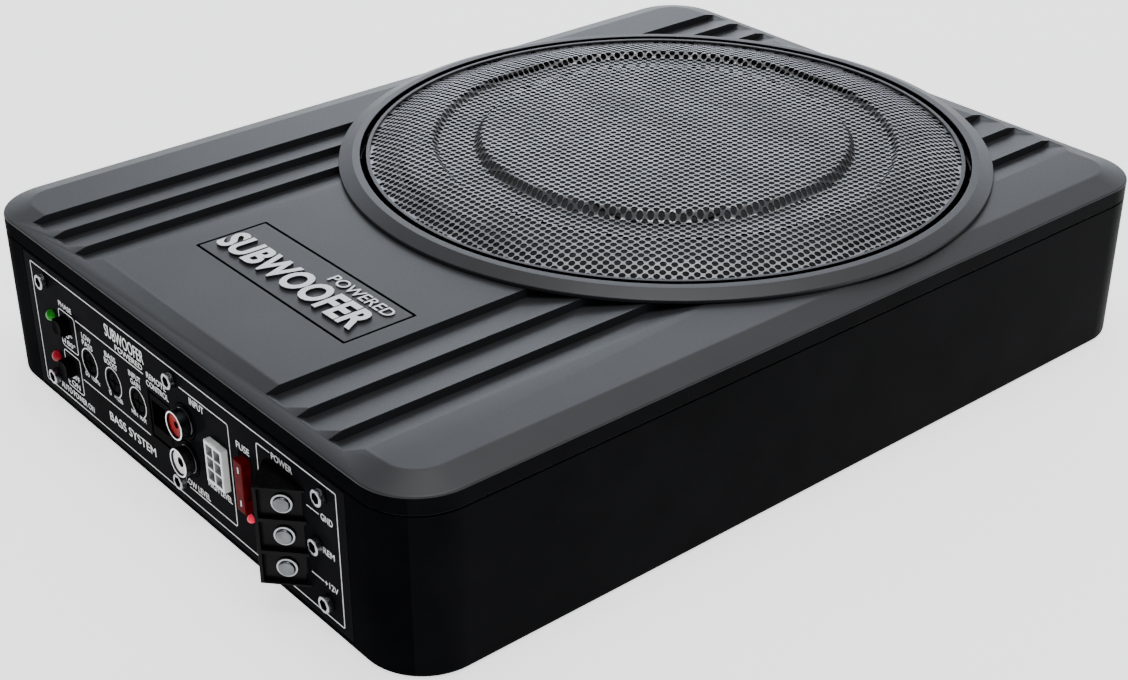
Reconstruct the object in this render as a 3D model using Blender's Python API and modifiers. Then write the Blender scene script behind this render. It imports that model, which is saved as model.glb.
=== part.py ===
"""Powered under-seat car subwoofer: a flat amplified bass box with a round grille on top.

The origin is the centre of the flat underside.  +Z is up, the control panel faces -Y and the
long side of the case runs along Y.  Sizes below are in millimetres and MM turns them to metres.
"""
import math

import bmesh
import bpy
from mathutils import Vector

MM = 0.001

# Case: a lower tub and a top cover that meet at a parting line
WIDTH, DEPTH, TOP = 259.6, 345.0, 66.5
CORNER = 21.4
CHAMFER_IN, CHAMFER_DROP = 10.0, 2.6
FLOOR, WALL, FRONT_WALL = 2.5, 2.5, 4.0
PARTING_LOW, PARTING_HIGH = 57.3, 57.6
COVER_WALL, COVER_UNDER = 3.0, 60.0
FRONT = -DEPTH / 2.0
GAP = 0.3

# Sloped grooves in the cover: x of each steep wall, and the last groove's floor width
LEFT_WALLS = (-100.0, -84.4, -68.3)
RIGHT_WALLS = (53.3, 70.3, 86.8)
GROOVE_DEPTH, GROOVE_LAST = 3.1, 12.8
GROOVE_BOTTOM_Y, GROOVE_RAMP = 164.0, 1.9

# Driver, ring and grille, all round the axis at (0, AXIS_Y)
AXIS_Y = 44.2
STEPS, HIDDEN_STEPS = 48, 32
LEDGE_Z, LEDGE_R, OPENING_R = 63.0, 115.0, 104.0
RING_IN, RING_OUT = 115.3, 123.4
RIM_IN, RIM_OUT, RIM_TOP = 111.7, 113.1, 69.7
GRILLE_THICK = 0.8
CONE_NECK_R, CONE_EDGE_R, CONE_NECK_Z, CONE_EDGE_Z = 19.3, 89.5, 45.0, 61.5
ROLL_R, ROLL_HALF, ROLL_RISE = 95.0, 4.6, 3.6
BASKET_WINDOWS = 6

# Badge plate let into the cover
BADGE_Y, BADGE_X_SIZE, BADGE_Y_SIZE, BADGE_LINE = -119.3, 89.8, 28.2, 0.8

# Control panel and its parts: x and z are across the panel, heights stand out of its face
PANEL_X, PANEL_Z, PANEL_THICK = (-100.4, 101.4), (2.7, 56.5), 1.5
WINDOW_X, WINDOW_Z = (-88.5, 82.0), (14.0, 46.0)
PANEL_SCREWS = ((-85.9, 49.4), (-85.9, 10.9), (3.2, 49.4), (3.2, 10.9),
                (89.3, 49.4), (85.5, 30.0), (89.3, 10.9))
LEDS = (("led_green", -83.3, 36.8, 2.2), ("led_red", -83.3, 20.1, 2.2), ("led_fuse", 46.8, 18.6, 1.5))
SWITCHES = (("phase", -72.5, 37.2), ("autopower", -72.5, 20.5))
BUTTON_X, BUTTON_Z, BUTTON_OUT = 6.0, 5.4, 3.8
POTS = (("lowpass", -57.3), ("bassboost", -40.3), ("gain", -23.3))
POT_Z, POT_HOLE_R = 28.4, 4.4
JACK_X, JACK_Z, JACK_W, JACK_H = -7.9, 28.5, 13.0, 16.6
RCA_X, RCA_SHELL_R, RCA_COLLAR_R = 9.4, 5.1, 6.3
RCAS = (("red", 36.6), ("white", 22.4))
SOCKET_X, SOCKET_Z, SOCKET_W, SOCKET_H, SOCKET_PITCH = 29.6, 30.35, 10.6, 15.6, 4.6
FUSE_X, FUSE_Z, FUSE_W, FUSE_H, FUSE_OUT = 46.0, 31.3, 5.1, 19.1, 2.9
TERM_LEFT, TERM_PEAK, TERM_RIGHT, TERM_OUT = 57.4, 68.4, 80.2, 11.0
TERM_LOW, TERM_CELL, TERM_CELLS = 11.4, 11.67, 3
TERM_RECESS, TERM_DIVIDER = 1.7, 1.3
PLUG_X, PLUG_Z = (60.0, 78.0), (15.0, 45.0)

# Amplifier inside the case
BOARD = ((-101.0, 101.0), (-160.0, -74.0), (6.0, 7.6))
BOARD_PEGS = ((-93.0, -152.0), (93.0, -152.0), (-93.0, -82.0), (93.0, -82.0))
CASE_SCREWS = ((-111.5, -154.5), (111.5, -154.5), (-111.5, 154.5), (111.5, 154.5))


def begin():
    """Empties the scene and makes one collection for the parts and one for the cutters."""
    for old in list(bpy.data.objects):
        bpy.data.objects.remove(old, do_unlink=True)
    made = {}
    for title in ("powered_subwoofer", "cutters"):
        made[title] = bpy.data.collections.new(title)
        bpy.context.scene.collection.children.link(made[title])
    return made["powered_subwoofer"], made["cutters"]


PARTS, CUTTERS = begin()


def material(title, color, roughness, metallic=0.0):
    """A Principled BSDF material with one colour and finish."""
    mat = bpy.data.materials.new(title)
    mat.use_nodes = True
    shader = mat.node_tree.nodes["Principled BSDF"]
    shader.inputs["Base Color"].default_value = (*color, 1.0)
    shader.inputs["Roughness"].default_value = roughness
    shader.inputs["Metallic"].default_value = metallic
    return mat


SATIN = (0.060, 0.062, 0.066)
BLACK = (0.012, 0.012, 0.013)
STEEL = (0.62, 0.63, 0.65)


def add(title, mesh, mat, centre=(0.0, 0.0, 0.0), outward=False):
    """Names a mesh as one part, or as a cutter where it has no material.

    centre is in millimetres.  With outward, the part's own +Z points out of the panel, to -Y.
    """
    obj = bpy.data.objects.new(title, mesh)
    obj.location = Vector(centre) * MM
    if outward:
        obj.rotation_euler = (math.pi / 2.0, 0.0, 0.0)
    if mat is None:
        CUTTERS.objects.link(obj)
        obj.hide_render = True
        obj.display_type = "WIRE"
    else:
        PARTS.objects.link(obj)
        mesh.materials.append(mat)
    return obj


def finish_mesh(title, bm):
    """Turns a bmesh into a mesh with its faces pointing out and its curved sides smooth."""
    bmesh.ops.recalc_face_normals(bm, faces=bm.faces)
    mesh = bpy.data.meshes.new(title)
    bm.to_mesh(mesh)
    bm.free()
    mesh.shade_smooth()
    mesh.set_sharp_from_angle(angle=math.radians(30.0))
    return mesh


def block(title, x, y, z, mat=None, corner=0.0, segments=6, chamfer=None):
    """A box between three pairs of limits, with optional round upright edges.

    chamfer is (inset, drop): the top face is inset and the rim around it drops.
    """
    bm = bmesh.new()
    bmesh.ops.create_cube(bm, size=1.0)
    limits = [sorted(pair) for pair in (x, y, z)]
    size = Vector([pair[1] - pair[0] for pair in limits])
    middle = Vector([sum(pair) / 2.0 for pair in limits])
    bmesh.ops.scale(bm, vec=size * MM, verts=bm.verts)
    if corner:
        upright = [e for e in bm.edges if abs(e.verts[0].co.z - e.verts[1].co.z) > 1e-6]
        bmesh.ops.bevel(bm, geom=upright, offset=corner * MM, segments=segments,
                        profile=0.5, affect="EDGES")
    if chamfer:
        inset, drop = chamfer
        bm.normal_update()
        lid = max(bm.faces, key=lambda f: f.calc_center_median().z)
        rim = list(lid.verts)
        bmesh.ops.inset_individual(bm, faces=[lid], thickness=inset * MM)
        for vert in rim:
            vert.co.z -= drop * MM
    return add(title, finish_mesh(title, bm), mat, middle)


def hull(title, points, mat=None):
    """The convex solid around a few points."""
    bm = bmesh.new()
    for point in points:
        bm.verts.new(Vector(point) * MM)
    bmesh.ops.convex_hull(bm, input=bm.verts)
    return add(title, finish_mesh(title, bm), mat)


def turned(title, profile, mat=None, centre=(0.0, AXIS_Y, 0.0), outward=False, steps=STEPS):
    """A turned solid from (radius, height) pairs that run down its outer side.

    A profile that starts and ends on the axis is left open there, and any other is a closed loop.
    """
    on_axis = profile[0][0] == 0.0 and profile[-1][0] == 0.0
    mesh = bpy.data.meshes.new(title)
    count = len(profile)
    edges = [(i, i + 1) for i in range(count - 1)]
    if not on_axis:
        edges.append((count - 1, 0))
    mesh.from_pydata([(r * MM, 0.0, h * MM) for r, h in profile], edges, [])
    obj = add(title, mesh, mat, centre, outward)
    screw = obj.modifiers.new("turn", "SCREW")
    screw.steps = screw.render_steps = steps
    screw.use_merge_vertices = True
    screw.merge_threshold = 0.00001
    screw.use_smooth_shade = True
    return obj


def rod(title, radius, low, high, mat=None, centre=(0.0, 0.0, 0.0), outward=False, steps=16):
    """A plain cylinder between two heights."""
    profile = [(0.0, high), (radius, high), (radius, low), (0.0, low)]
    return turned(title, profile, mat, centre, outward, steps)


def boolean(obj, cutter, operation="DIFFERENCE"):
    """Cuts or joins another object with the EXACT solver."""
    mod = obj.modifiers.new(cutter.name, "BOOLEAN")
    mod.operation = operation
    mod.solver = "EXACT"
    mod.object = cutter
    return obj


def around(middle, size):
    """The low and high limits of a size about its middle."""
    return (middle - size / 2.0, middle + size / 2.0)


def out(height):
    """The y of a plane that stands a height out of the panel's face."""
    return FRONT - height


# ---------------------------------------------------------------- case

def lower_case():
    """The tub: floor, walls, the panel's rebate and window, pegs and screw bosses."""
    mat = material("lower_case", BLACK, 0.45)
    half_w = WIDTH / 2.0
    case = block("lower_case", (-half_w, half_w), (FRONT, -FRONT), (0.0, PARTING_LOW), mat, CORNER)
    hollow = block("case_hollow", (-half_w + WALL, half_w - WALL), (FRONT + FRONT_WALL, -FRONT - WALL),
                   (FLOOR, TOP), None, CORNER - WALL)
    boolean(case, hollow)
    rebate_x = (PANEL_X[0] - GAP, PANEL_X[1] + GAP)
    rebate_z = (PANEL_Z[0] - GAP, PANEL_Z[1] + GAP)
    boolean(case, block("panel_rebate", rebate_x, (FRONT - 5.0, FRONT + PANEL_THICK + GAP), rebate_z))
    boolean(case, block("panel_window", WINDOW_X, (FRONT - 5.0, FRONT + FRONT_WALL + 2.0), WINDOW_Z))
    for index, (x, z) in enumerate(PANEL_SCREWS):
        boolean(case, rod(f"wall_hole_{index}", 1.8, -8.0, 8.0, None, (x, FRONT, z), True, 8))
    for index, (x, y) in enumerate(BOARD_PEGS):
        shape = [(0.0, 8.9), (1.4, 8.9), (1.4, 5.7), (3.2, 5.7), (3.2, 1.0), (0.0, 1.0)]
        boolean(case, turned(f"board_peg_{index}", shape, None, (x, y, 0.0), steps=8), "UNION")
    for index, (x, y) in enumerate(CASE_SCREWS):
        boolean(case, rod(f"boss_{index}", 6.5, 1.0, 8.0, None, (x, y, 0.0), steps=12), "UNION")
        bore = [(0.0, 12.0), (1.9, 12.0), (1.9, 3.0), (3.6, 3.0), (3.6, -2.0), (0.0, -2.0)]
        boolean(case, turned(f"boss_bore_{index}", bore, None, (x, y, 0.0), steps=12))


def grooves(cover):
    """Six sloped grooves: a steep wall on the left, then a floor that rises to the next lip."""
    above = 1.0
    bottom = TOP - GROOVE_DEPTH
    rise = (GROOVE_DEPTH + above) / GROOVE_DEPTH
    end_y = GROOVE_BOTTOM_Y + (GROOVE_DEPTH + above) * GROOVE_RAMP
    for walls in (LEFT_WALLS, RIGHT_WALLS):
        ends = walls[1:] + (walls[-1] + GROOVE_LAST,)
        for start, stop in zip(walls, ends):
            lip = start + (stop - start) * rise
            points = []
            for side in (-1.0, 1.0):
                points.append((start, side * GROOVE_BOTTOM_Y, bottom))
                points.append((start, side * end_y, TOP + above))
                points.append((lip, side * end_y, TOP + above))
            boolean(cover, hull(f"groove_{start:.0f}", points))


def top_cover():
    """The lid: a chamfered plate with a short skirt, the driver's seat and four screw posts."""
    mat = material("top_cover", SATIN, 0.42)
    half_w = WIDTH / 2.0
    cover = block("top_cover", (-half_w, half_w), (FRONT, -FRONT), (PARTING_HIGH, TOP), mat, CORNER,
                  chamfer=(CHAMFER_IN, CHAMFER_DROP))
    hollow = block("cover_hollow", (-half_w + COVER_WALL, half_w - COVER_WALL),
                   (FRONT + COVER_WALL, -FRONT - COVER_WALL), (PARTING_HIGH - 4.0, COVER_UNDER),
                   None, CORNER - COVER_WALL)
    boolean(cover, hollow)
    for index, (x, y) in enumerate(CASE_SCREWS):
        boolean(cover, rod(f"post_{index}", 5.0, 8.3, 61.5, None, (x, y, 0.0), steps=12), "UNION")
        boolean(cover, rod(f"post_bore_{index}", 1.8, 2.0, 20.0, None, (x, y, 0.0), steps=8))
    grooves(cover)
    seat = [(0.0, TOP + 5.0), (LEDGE_R, TOP + 5.0), (LEDGE_R, LEDGE_Z), (OPENING_R, LEDGE_Z),
            (OPENING_R, COVER_UNDER - 5.0), (0.0, COVER_UNDER - 5.0)]
    boolean(cover, turned("driver_seat", seat))
    boolean(cover, block("badge_rebate", around(0.0, BADGE_X_SIZE), around(BADGE_Y, BADGE_Y_SIZE),
                         (TOP - 1.3, TOP + 2.0)))


def case_screws():
    """Four long screws that hold the cover down from below."""
    mat = material("case_screw", STEEL, 0.35, 1.0)
    for index, (x, y) in enumerate(CASE_SCREWS):
        shape = [(0.0, 18.0), (1.5, 17.0), (1.5, 2.7), (3.1, 2.7), (3.1, 0.4), (0.0, 0.4)]
        turned(f"case_screw_{index + 1}", shape, mat, (x, y, 0.0), steps=12)


def badge_plate():
    """A flush plate whose rebate leaves a thin dark line around it."""
    mat = material("badge_plate", SATIN, 0.42)
    block("badge_plate", around(0.0, BADGE_X_SIZE - 2.0 * BADGE_LINE),
          around(BADGE_Y, BADGE_Y_SIZE - 2.0 * BADGE_LINE), (TOP - 1.0, TOP), mat)


# ---------------------------------------------------------------- ring and grille

def trim_ring():
    """The raised ring: an upright outer edge, a slope and a narrow crest."""
    profile = [(118.2, 69.95), (RING_OUT, 68.0), (RING_OUT, TOP + GAP), (RING_IN, TOP + GAP),
               (RING_IN, 69.5), (115.8, 69.95)]
    turned("trim_ring", profile, material("trim_ring", SATIN, 0.4))


def grille_rim():
    """The hoop that clamps the grille's edge, standing on the cover's ledge."""
    profile = [(RIM_OUT, RIM_TOP), (RIM_OUT, LEDGE_Z + GAP), (112.3, LEDGE_Z + GAP),
               (112.3, 68.9), (RIM_IN, 68.9), (RIM_IN, RIM_TOP)]
    turned("grille_rim", profile, material("grille_rim", SATIN, 0.4))


def grille_mesh():
    """The domed grille, plain here: a raised middle, a ring-shaped trough and a falling edge."""
    outer = [(0.0, 75.2), (69.5, 74.7), (72.0, 71.3), (85.7, 71.2), (88.0, 73.5), (100.0, 71.9),
             (110.6, 68.6), (112.0, 68.6)]
    inner = [(radius, height - GRILLE_THICK) for radius, height in reversed(outer)]
    turned("grille_mesh", outer + inner, material("grille_mesh", (0.25, 0.25, 0.26), 0.35, 0.6))


# ---------------------------------------------------------------- driver

def basket():
    """The pressed frame: rim flange, surround step, windowed cone, spider step and base."""
    profile = [(111.5, 65.8), (111.5, LEDGE_Z + GAP), (103.5, LEDGE_Z + GAP), (103.5, 58.0),
               (95.0, 49.0), (62.0, 38.0), (60.0, 35.3), (24.0, 35.3), (24.0, 37.3), (51.5, 37.3),
               (51.5, 42.0), (59.5, 42.0), (92.0, 52.0), (98.5, 60.0), (98.5, 61.5), (101.0, 61.5),
               (101.0, 65.8)]
    frame = turned("driver_basket", profile, material("driver_basket", BLACK, 0.5), steps=HIDDEN_STEPS)
    for index in range(BASKET_WINDOWS):
        angle = 2.0 * math.pi * (index + 0.5) / BASKET_WINDOWS
        window = block(f"basket_window_{index}", around(0.0, 24.0), around(0.0, 44.0), around(47.0, 30.0))
        window.location.x = 78.0 * MM * math.cos(angle)
        window.location.y = (AXIS_Y + 78.0 * math.sin(angle)) * MM
        window.rotation_euler = (0.0, 0.0, angle)
        boolean(frame, window)


def motor():
    """The magnet system, from the bottom: yoke with its pole, ring magnet, top plate."""
    iron = material("motor_iron", (0.35, 0.35, 0.36), 0.4, 1.0)
    turned("yoke", [(0.0, 34.9), (18.0, 34.9), (18.0, 13.0), (58.0, 13.0), (58.0, 7.0), (0.0, 7.0)], iron,
           steps=HIDDEN_STEPS)
    turned("magnet", [(60.0, 29.3), (60.0, 13.3), (25.5, 13.3), (25.5, 29.3)],
           material("magnet", (0.05, 0.05, 0.055), 0.7), steps=HIDDEN_STEPS)
    turned("top_plate", [(58.0, 35.0), (58.0, 29.6), (21.5, 29.6), (21.5, 35.0)], iron, steps=HIDDEN_STEPS)


def moving_parts():
    """What the current drives up and down: coil, cone and cap, with spider and surround."""
    turned("voice_coil", [(CONE_NECK_R, 46.5), (CONE_NECK_R, 39.0), (20.6, 39.0), (20.6, 25.5),
                          (18.8, 25.5), (18.8, 46.5)], material("voice_coil", (0.45, 0.22, 0.08), 0.4),
           steps=HIDDEN_STEPS)
    turned("cone", [(CONE_EDGE_R, CONE_EDGE_Z), (CONE_EDGE_R, CONE_EDGE_Z - 1.2),
                    (CONE_NECK_R + 2.0, CONE_NECK_Z - 0.4), (CONE_NECK_R + GAP, CONE_NECK_Z - 0.4),
                    (CONE_NECK_R + GAP, CONE_NECK_Z + 1.2)], material("cone", BLACK, 0.7),
           steps=HIDDEN_STEPS)
    turned("dust_cap", [(0.0, 54.0), (12.0, 52.8), (22.0, 49.6), (27.0, 48.6), (27.0, 47.9),
                        (20.5, 47.9), (12.0, 51.6), (0.0, 52.8)], material("dust_cap", BLACK, 0.5),
           steps=HIDDEN_STEPS)
    waves = [(19.8, 43.6), (27.0, 44.2), (33.0, 43.0), (39.0, 44.2), (45.0, 43.0), (59.0, 43.0)]
    turned("spider", waves + [(radius, height - 0.7) for radius, height in reversed(waves)],
           material("spider", (0.55, 0.42, 0.2), 0.9), steps=HIDDEN_STEPS)
    swing = [math.pi * i / 4.0 for i in range(4, -1, -1)]
    over = [(ROLL_R + ROLL_HALF * math.cos(a), 62.8 + ROLL_RISE * math.sin(a)) for a in swing]
    under = [(ROLL_R + (ROLL_HALF - 0.8) * math.cos(a), 62.0 + ROLL_RISE * math.sin(a))
             for a in reversed(swing)]
    inner_edge, outer_edge = CONE_EDGE_R - 4.0, 100.8
    turned("surround", [(inner_edge, 62.7)] + over + [(outer_edge, 62.7), (outer_edge, 61.8)] + under
           + [(inner_edge, 61.9)], material("surround", BLACK, 0.8), steps=HIDDEN_STEPS)


def gasket():
    """The soft ring between the basket flange and the grille."""
    turned("driver_gasket", [(111.2, 67.4), (111.2, 66.1), (103.0, 66.1), (103.0, 67.4)],
           material("driver_gasket", BLACK, 0.9))


# ---------------------------------------------------------------- control panel

def control_panel():
    """The metal panel with a hole for every part on it."""
    panel = block("control_panel", PANEL_X, (FRONT, FRONT + PANEL_THICK), PANEL_Z,
                  material("control_panel", BLACK, 0.15))
    holes = [(x, z, 1.8, 8) for x, z in PANEL_SCREWS]
    holes += [(x, z, radius + GAP, 16) for _, x, z, radius in LEDS]
    holes += [(x, POT_Z, POT_HOLE_R, 24) for _, x in POTS]
    holes += [(RCA_X, z, RCA_COLLAR_R + GAP, 24) for _, z in RCAS]
    for index, (x, z, radius, steps) in enumerate(holes):
        boolean(panel, rod(f"panel_hole_{index}", radius, -5.0, 5.0, None, (x, FRONT, z), True, steps))
    cuts = [(x, z, BUTTON_X + 2 * GAP, BUTTON_Z + 2 * GAP) for _, x, z in SWITCHES]
    cuts.append((JACK_X, JACK_Z, JACK_W + 1.6, JACK_H + 1.6))
    cuts.append((SOCKET_X, SOCKET_Z, SOCKET_W + 2 * GAP, SOCKET_H + 2 * GAP))
    cuts.append((FUSE_X, FUSE_Z, FUSE_W + 2.4, FUSE_H + 1.8))
    cuts.append((sum(PLUG_X) / 2.0, sum(PLUG_Z) / 2.0, PLUG_X[1] - PLUG_X[0] + 2 * GAP,
                 PLUG_Z[1] - PLUG_Z[0] + 2 * GAP))
    for index, (x, z, width, height) in enumerate(cuts):
        boolean(panel, block(f"panel_cut_{index}", around(x, width), (out(5.0), out(-5.0)),
                             around(z, height)))


def panel_screws():
    """Seven proud socket-head screws."""
    mat = material("panel_screw", STEEL, 0.25, 1.0)
    for index, (x, z) in enumerate(PANEL_SCREWS):
        shape = [(0.0, 0.9), (1.45, 0.9), (1.45, 2.3), (2.85, 2.3), (2.85, GAP), (1.5, GAP),
                 (1.5, -6.5), (0.0, -6.5)]
        turned(f"panel_screw_{index + 1}", shape, mat, (x, FRONT, z), True, 12)


def leds():
    """Round lamps: a dome on a short cylinder."""
    colors = {"led_green": (0.05, 0.6, 0.08), "led_red": (0.7, 0.03, 0.05), "led_fuse": (0.7, 0.03, 0.05)}
    for title, x, z, radius in LEDS:
        swing = [math.radians(30.0 * i) for i in range(4)]
        dome = [(radius * math.sin(a), radius * math.cos(a)) for a in swing]
        turned(title, dome + [(radius, -5.0), (0.0, -5.0)], material(title, colors[title], 0.1),
               (x, FRONT, z), True, 12)


def switches():
    """Two latching push-buttons, each sliding in the well of its own switch body."""
    black = material("switch_black", BLACK, 0.4)
    for title, x, z in SWITCHES:
        body = block(f"{title}_switch", around(x, 8.6), (out(-PANEL_THICK - GAP), out(-14.0)),
                     around(z, 8.0), black)
        boolean(body, block(f"{title}_well", around(x, BUTTON_X + 2 * GAP), (out(0.0), out(-11.0)),
                            around(z, BUTTON_Z + 2 * GAP)))
        block(f"{title}_button", around(x, BUTTON_X), (out(BUTTON_OUT), out(-7.2)),
              around(z, BUTTON_Z), black)


def potentiometers():
    """Three small rotary controls whose slotted heads sit in the panel's holes."""
    black = material("pot_black", BLACK, 0.5)
    for title, x in POTS:
        body = block(f"{title}_pot", around(x, 9.8), (out(-3.0), out(-12.0)), around(POT_Z, 9.8),
                     material(f"{title}_pot", (0.1, 0.12, 0.16), 0.5))
        boolean(body, rod(f"{title}_bore", 1.8, -9.0, 0.0, None, (x, FRONT, POT_Z), True, 12))
        head = [(0.0, -GAP), (3.8, -GAP), (3.8, -2.7), (1.5, -2.7), (1.5, -8.0), (0.0, -8.0)]
        knob = turned(f"{title}_knob", head, black, (x, FRONT, POT_Z), True, 16)
        slot = block(f"{title}_slot", around(x, 5.4), (out(1.0), out(-1.0)), around(POT_Z, 1.0))
        boolean(knob, slot)


def remote_jack():
    """The modular jack for a wired remote level control."""
    jack = block("remote_jack", around(JACK_X, JACK_W), (out(-0.1), out(-15.0)), around(JACK_Z, JACK_H),
                 material("remote_jack", BLACK, 0.4))
    boolean(jack, block("jack_mouth", around(JACK_X - 0.6, 9.8), (out(4.0), out(-12.0)),
                        around(JACK_Z + 0.9, 9.6)))
    boolean(jack, block("jack_tab", around(JACK_X + 4.6, 3.0), (out(4.0), out(-12.0)),
                        around(JACK_Z + 0.9, 6.2)))


def rca_jacks():
    """The low-level inputs: one black housing, two metal shells and two coloured inserts."""
    housing = block("rca_housing", around(RCA_X, 13.4), (out(-PANEL_THICK - GAP), out(-13.0)),
                    (15.0, 44.0), material("rca_housing", BLACK, 0.4))
    steel = material("rca_shell", STEEL, 0.2, 1.0)
    colors = {"red": (0.75, 0.03, 0.03), "white": (0.85, 0.85, 0.83)}
    for title, z in RCAS:
        at = (RCA_X, FRONT, z)
        boolean(housing, rod(f"collar_{title}", RCA_COLLAR_R, -6.0, 0.25, None, at, True, 24), "UNION")
        boolean(housing, rod(f"collar_bore_{title}", RCA_SHELL_R + GAP, -10.0, 5.0, None, at, True, 24))
        tube = [(RCA_SHELL_R, 4.4), (RCA_SHELL_R, -9.5), (4.1, -9.5), (4.1, 4.4)]
        turned(f"rca_shell_{title}", tube, steel, at, True, 24)
        plug = [(0.0, 0.2), (1.6, 0.2), (1.6, 4.1), (3.8, 4.1), (3.8, -9.0), (0.0, -9.0)]
        turned(f"rca_insert_{title}", plug, material(f"rca_{title}", colors[title], 0.3), at, True, 24)


def highlevel_socket():
    """The six-way high-level input: a white housing with two columns of three cells."""
    body = block("highlevel_socket", around(SOCKET_X, SOCKET_W), (out(2.2), out(-12.0)),
                 around(SOCKET_Z, SOCKET_H), material("highlevel_socket", (0.82, 0.82, 0.80), 0.4))
    for column in (-0.5, 0.5):
        for row in (-1, 0, 1):
            x = SOCKET_X + column * SOCKET_PITCH
            z = SOCKET_Z + row * SOCKET_PITCH
            boolean(body, block(f"socket_cell_{column}_{row}", around(x, 3.4), (out(5.0), out(-9.0)),
                                around(z, 3.4)))


def fuse():
    """A blade fuse and the holder that it slides out of."""
    holder = block("fuse_holder", around(FUSE_X, FUSE_W + 1.8), (out(-0.1), out(-16.0)),
                   around(FUSE_Z, FUSE_H + 1.2), material("fuse_holder", BLACK, 0.5))
    boolean(holder, block("fuse_well", around(FUSE_X, FUSE_W + 2 * GAP), (out(5.0), out(-15.0)),
                          around(FUSE_Z, FUSE_H + 2 * GAP)))
    body = block("blade_fuse", around(FUSE_X, FUSE_W), (out(FUSE_OUT), out(-8.5)),
                 around(FUSE_Z, FUSE_H), material("blade_fuse", (0.65, 0.02, 0.03), 0.15))
    for side in (-1.0, 1.0):
        blade = block(f"blade_{side:.0f}", around(FUSE_X, 0.8), (out(-6.0), out(-14.0)),
                      around(FUSE_Z + side * 6.6, 5.0))
        boolean(body, blade, "UNION")


def along_slope(share, depth=0.0):
    """A plan point on the terminal's sloped face: share from peak to foot, depth below it."""
    peak = Vector((TERM_PEAK, out(TERM_OUT)))
    foot = Vector((TERM_RIGHT, out(GAP)))
    run = (foot - peak).normalized()
    inward = Vector((-run.y, run.x))
    return peak + (foot - peak) * share + inward * depth


def terminal_block():
    """A wedge with three screw cells on its sloped face and three wire mouths on the other."""
    black = material("terminal_block", BLACK, 0.35)
    steel = material("terminal_screw", STEEL, 0.2, 1.0)
    high = TERM_LOW + TERM_CELL * TERM_CELLS
    plan = ((TERM_LEFT, out(GAP)), (TERM_PEAK, out(TERM_OUT)), (TERM_RIGHT, out(GAP)))
    body = hull("terminal_block", [(x, y, z) for x, y in plan for z in (TERM_LOW, high)], black)
    boolean(body, block("terminal_plug", PLUG_X, (out(1.5), out(-10.0)), PLUG_Z), "UNION")
    slope = along_slope(1.0) - along_slope(0.0)
    turn = math.atan2(slope.y, slope.x)
    for cell in range(TERM_CELLS):
        low = TERM_LOW + cell * TERM_CELL
        middle = low + TERM_CELL / 2.0
        corners = [along_slope(0.07, TERM_RECESS), along_slope(1.2, TERM_RECESS),
                   along_slope(1.2, -3.0), along_slope(0.07, -3.0)]
        points = [(p.x, p.y, z) for p in corners
                  for z in (low + TERM_DIVIDER / 2.0, low + TERM_CELL - TERM_DIVIDER / 2.0)]
        boolean(body, hull(f"cell_{cell}", points))
        boolean(body, block(f"wire_mouth_{cell}", (60.3, 65.5), (out(16.0), out(-7.0)), around(middle, 6.2)))
        seat = along_slope(0.53, TERM_RECESS)
        bore = rod(f"screw_bore_{cell}", 1.8, -4.2, 3.0, None, (seat.x, seat.y, middle))
        bore.rotation_euler = (math.pi / 2.0, 0.0, turn)
        boolean(body, bore)
        head = [(0.0, 1.7), (3.4, 1.5), (3.4, GAP), (1.5, GAP), (1.5, -3.9), (0.0, -3.9)]
        screw = turned(f"terminal_screw_{TERM_CELLS - cell}", head, steel,
                       (seat.x, seat.y, middle), steps=16)
        screw.rotation_euler = (math.pi / 2.0, 0.0, turn)
        slot = hull(f"screw_slot_{cell}", [(x, y, z) for x in (-3.9, 3.9) for y in (-0.5, 0.5)
                                           for z in (0.95, 3.0)])
        slot.location = screw.location
        slot.rotation_euler = screw.rotation_euler
        boolean(screw, slot)


# ---------------------------------------------------------------- amplifier

def amplifier():
    """The amplifier board on its pegs, with transformer, capacitors and finned heatsink."""
    board = block("amp_board", *BOARD, material("amp_board", (0.02, 0.16, 0.06), 0.5))
    for index, (x, y) in enumerate(BOARD_PEGS):
        boolean(board, rod(f"board_hole_{index}", 1.8, 2.0, 10.0, None, (x, y, 0.0), steps=8))
    top = BOARD[2][1] + GAP
    turned("transformer", [(17.0, top + 13.0), (18.5, top + 11.0), (18.5, top), (7.0, top),
                           (7.0, top + 11.0), (8.5, top + 13.0)],
           material("transformer", (0.5, 0.22, 0.06), 0.35), (56.0, -112.0, 0.0), steps=20)
    for index, x in enumerate((2.0, 22.0)):
        rod(f"capacitor_{index + 1}", 8.0, top, top + 30.0, material(f"capacitor_{index + 1}", BLACK, 0.3),
            (x, -112.0, 0.0))
    sink = block("heatsink", (-86.0, -22.0), (-124.0, -100.0), (top, top + 28.0),
                 material("heatsink", (0.6, 0.6, 0.62), 0.4, 1.0))
    for index in range(4):
        boolean(sink, block(f"fin_gap_{index}", around(-76.0 + 14.7 * index, 9.0), (-130.0, -95.0),
                            (top + 5.0, top + 40.0)))


lower_case()
top_cover()
case_screws()
badge_plate()
trim_ring()
grille_rim()
grille_mesh()
basket()
gasket()
motor()
moving_parts()
control_panel()
panel_screws()
leds()
switches()
potentiometers()
remote_jack()
rca_jacks()
highlevel_socket()
fuse()
terminal_block()
amplifier()
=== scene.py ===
from math import atan2, cos, hypot, pi, radians, sin, tan, tau

import bmesh
import bpy
from mathutils import Matrix, Vector


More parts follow.
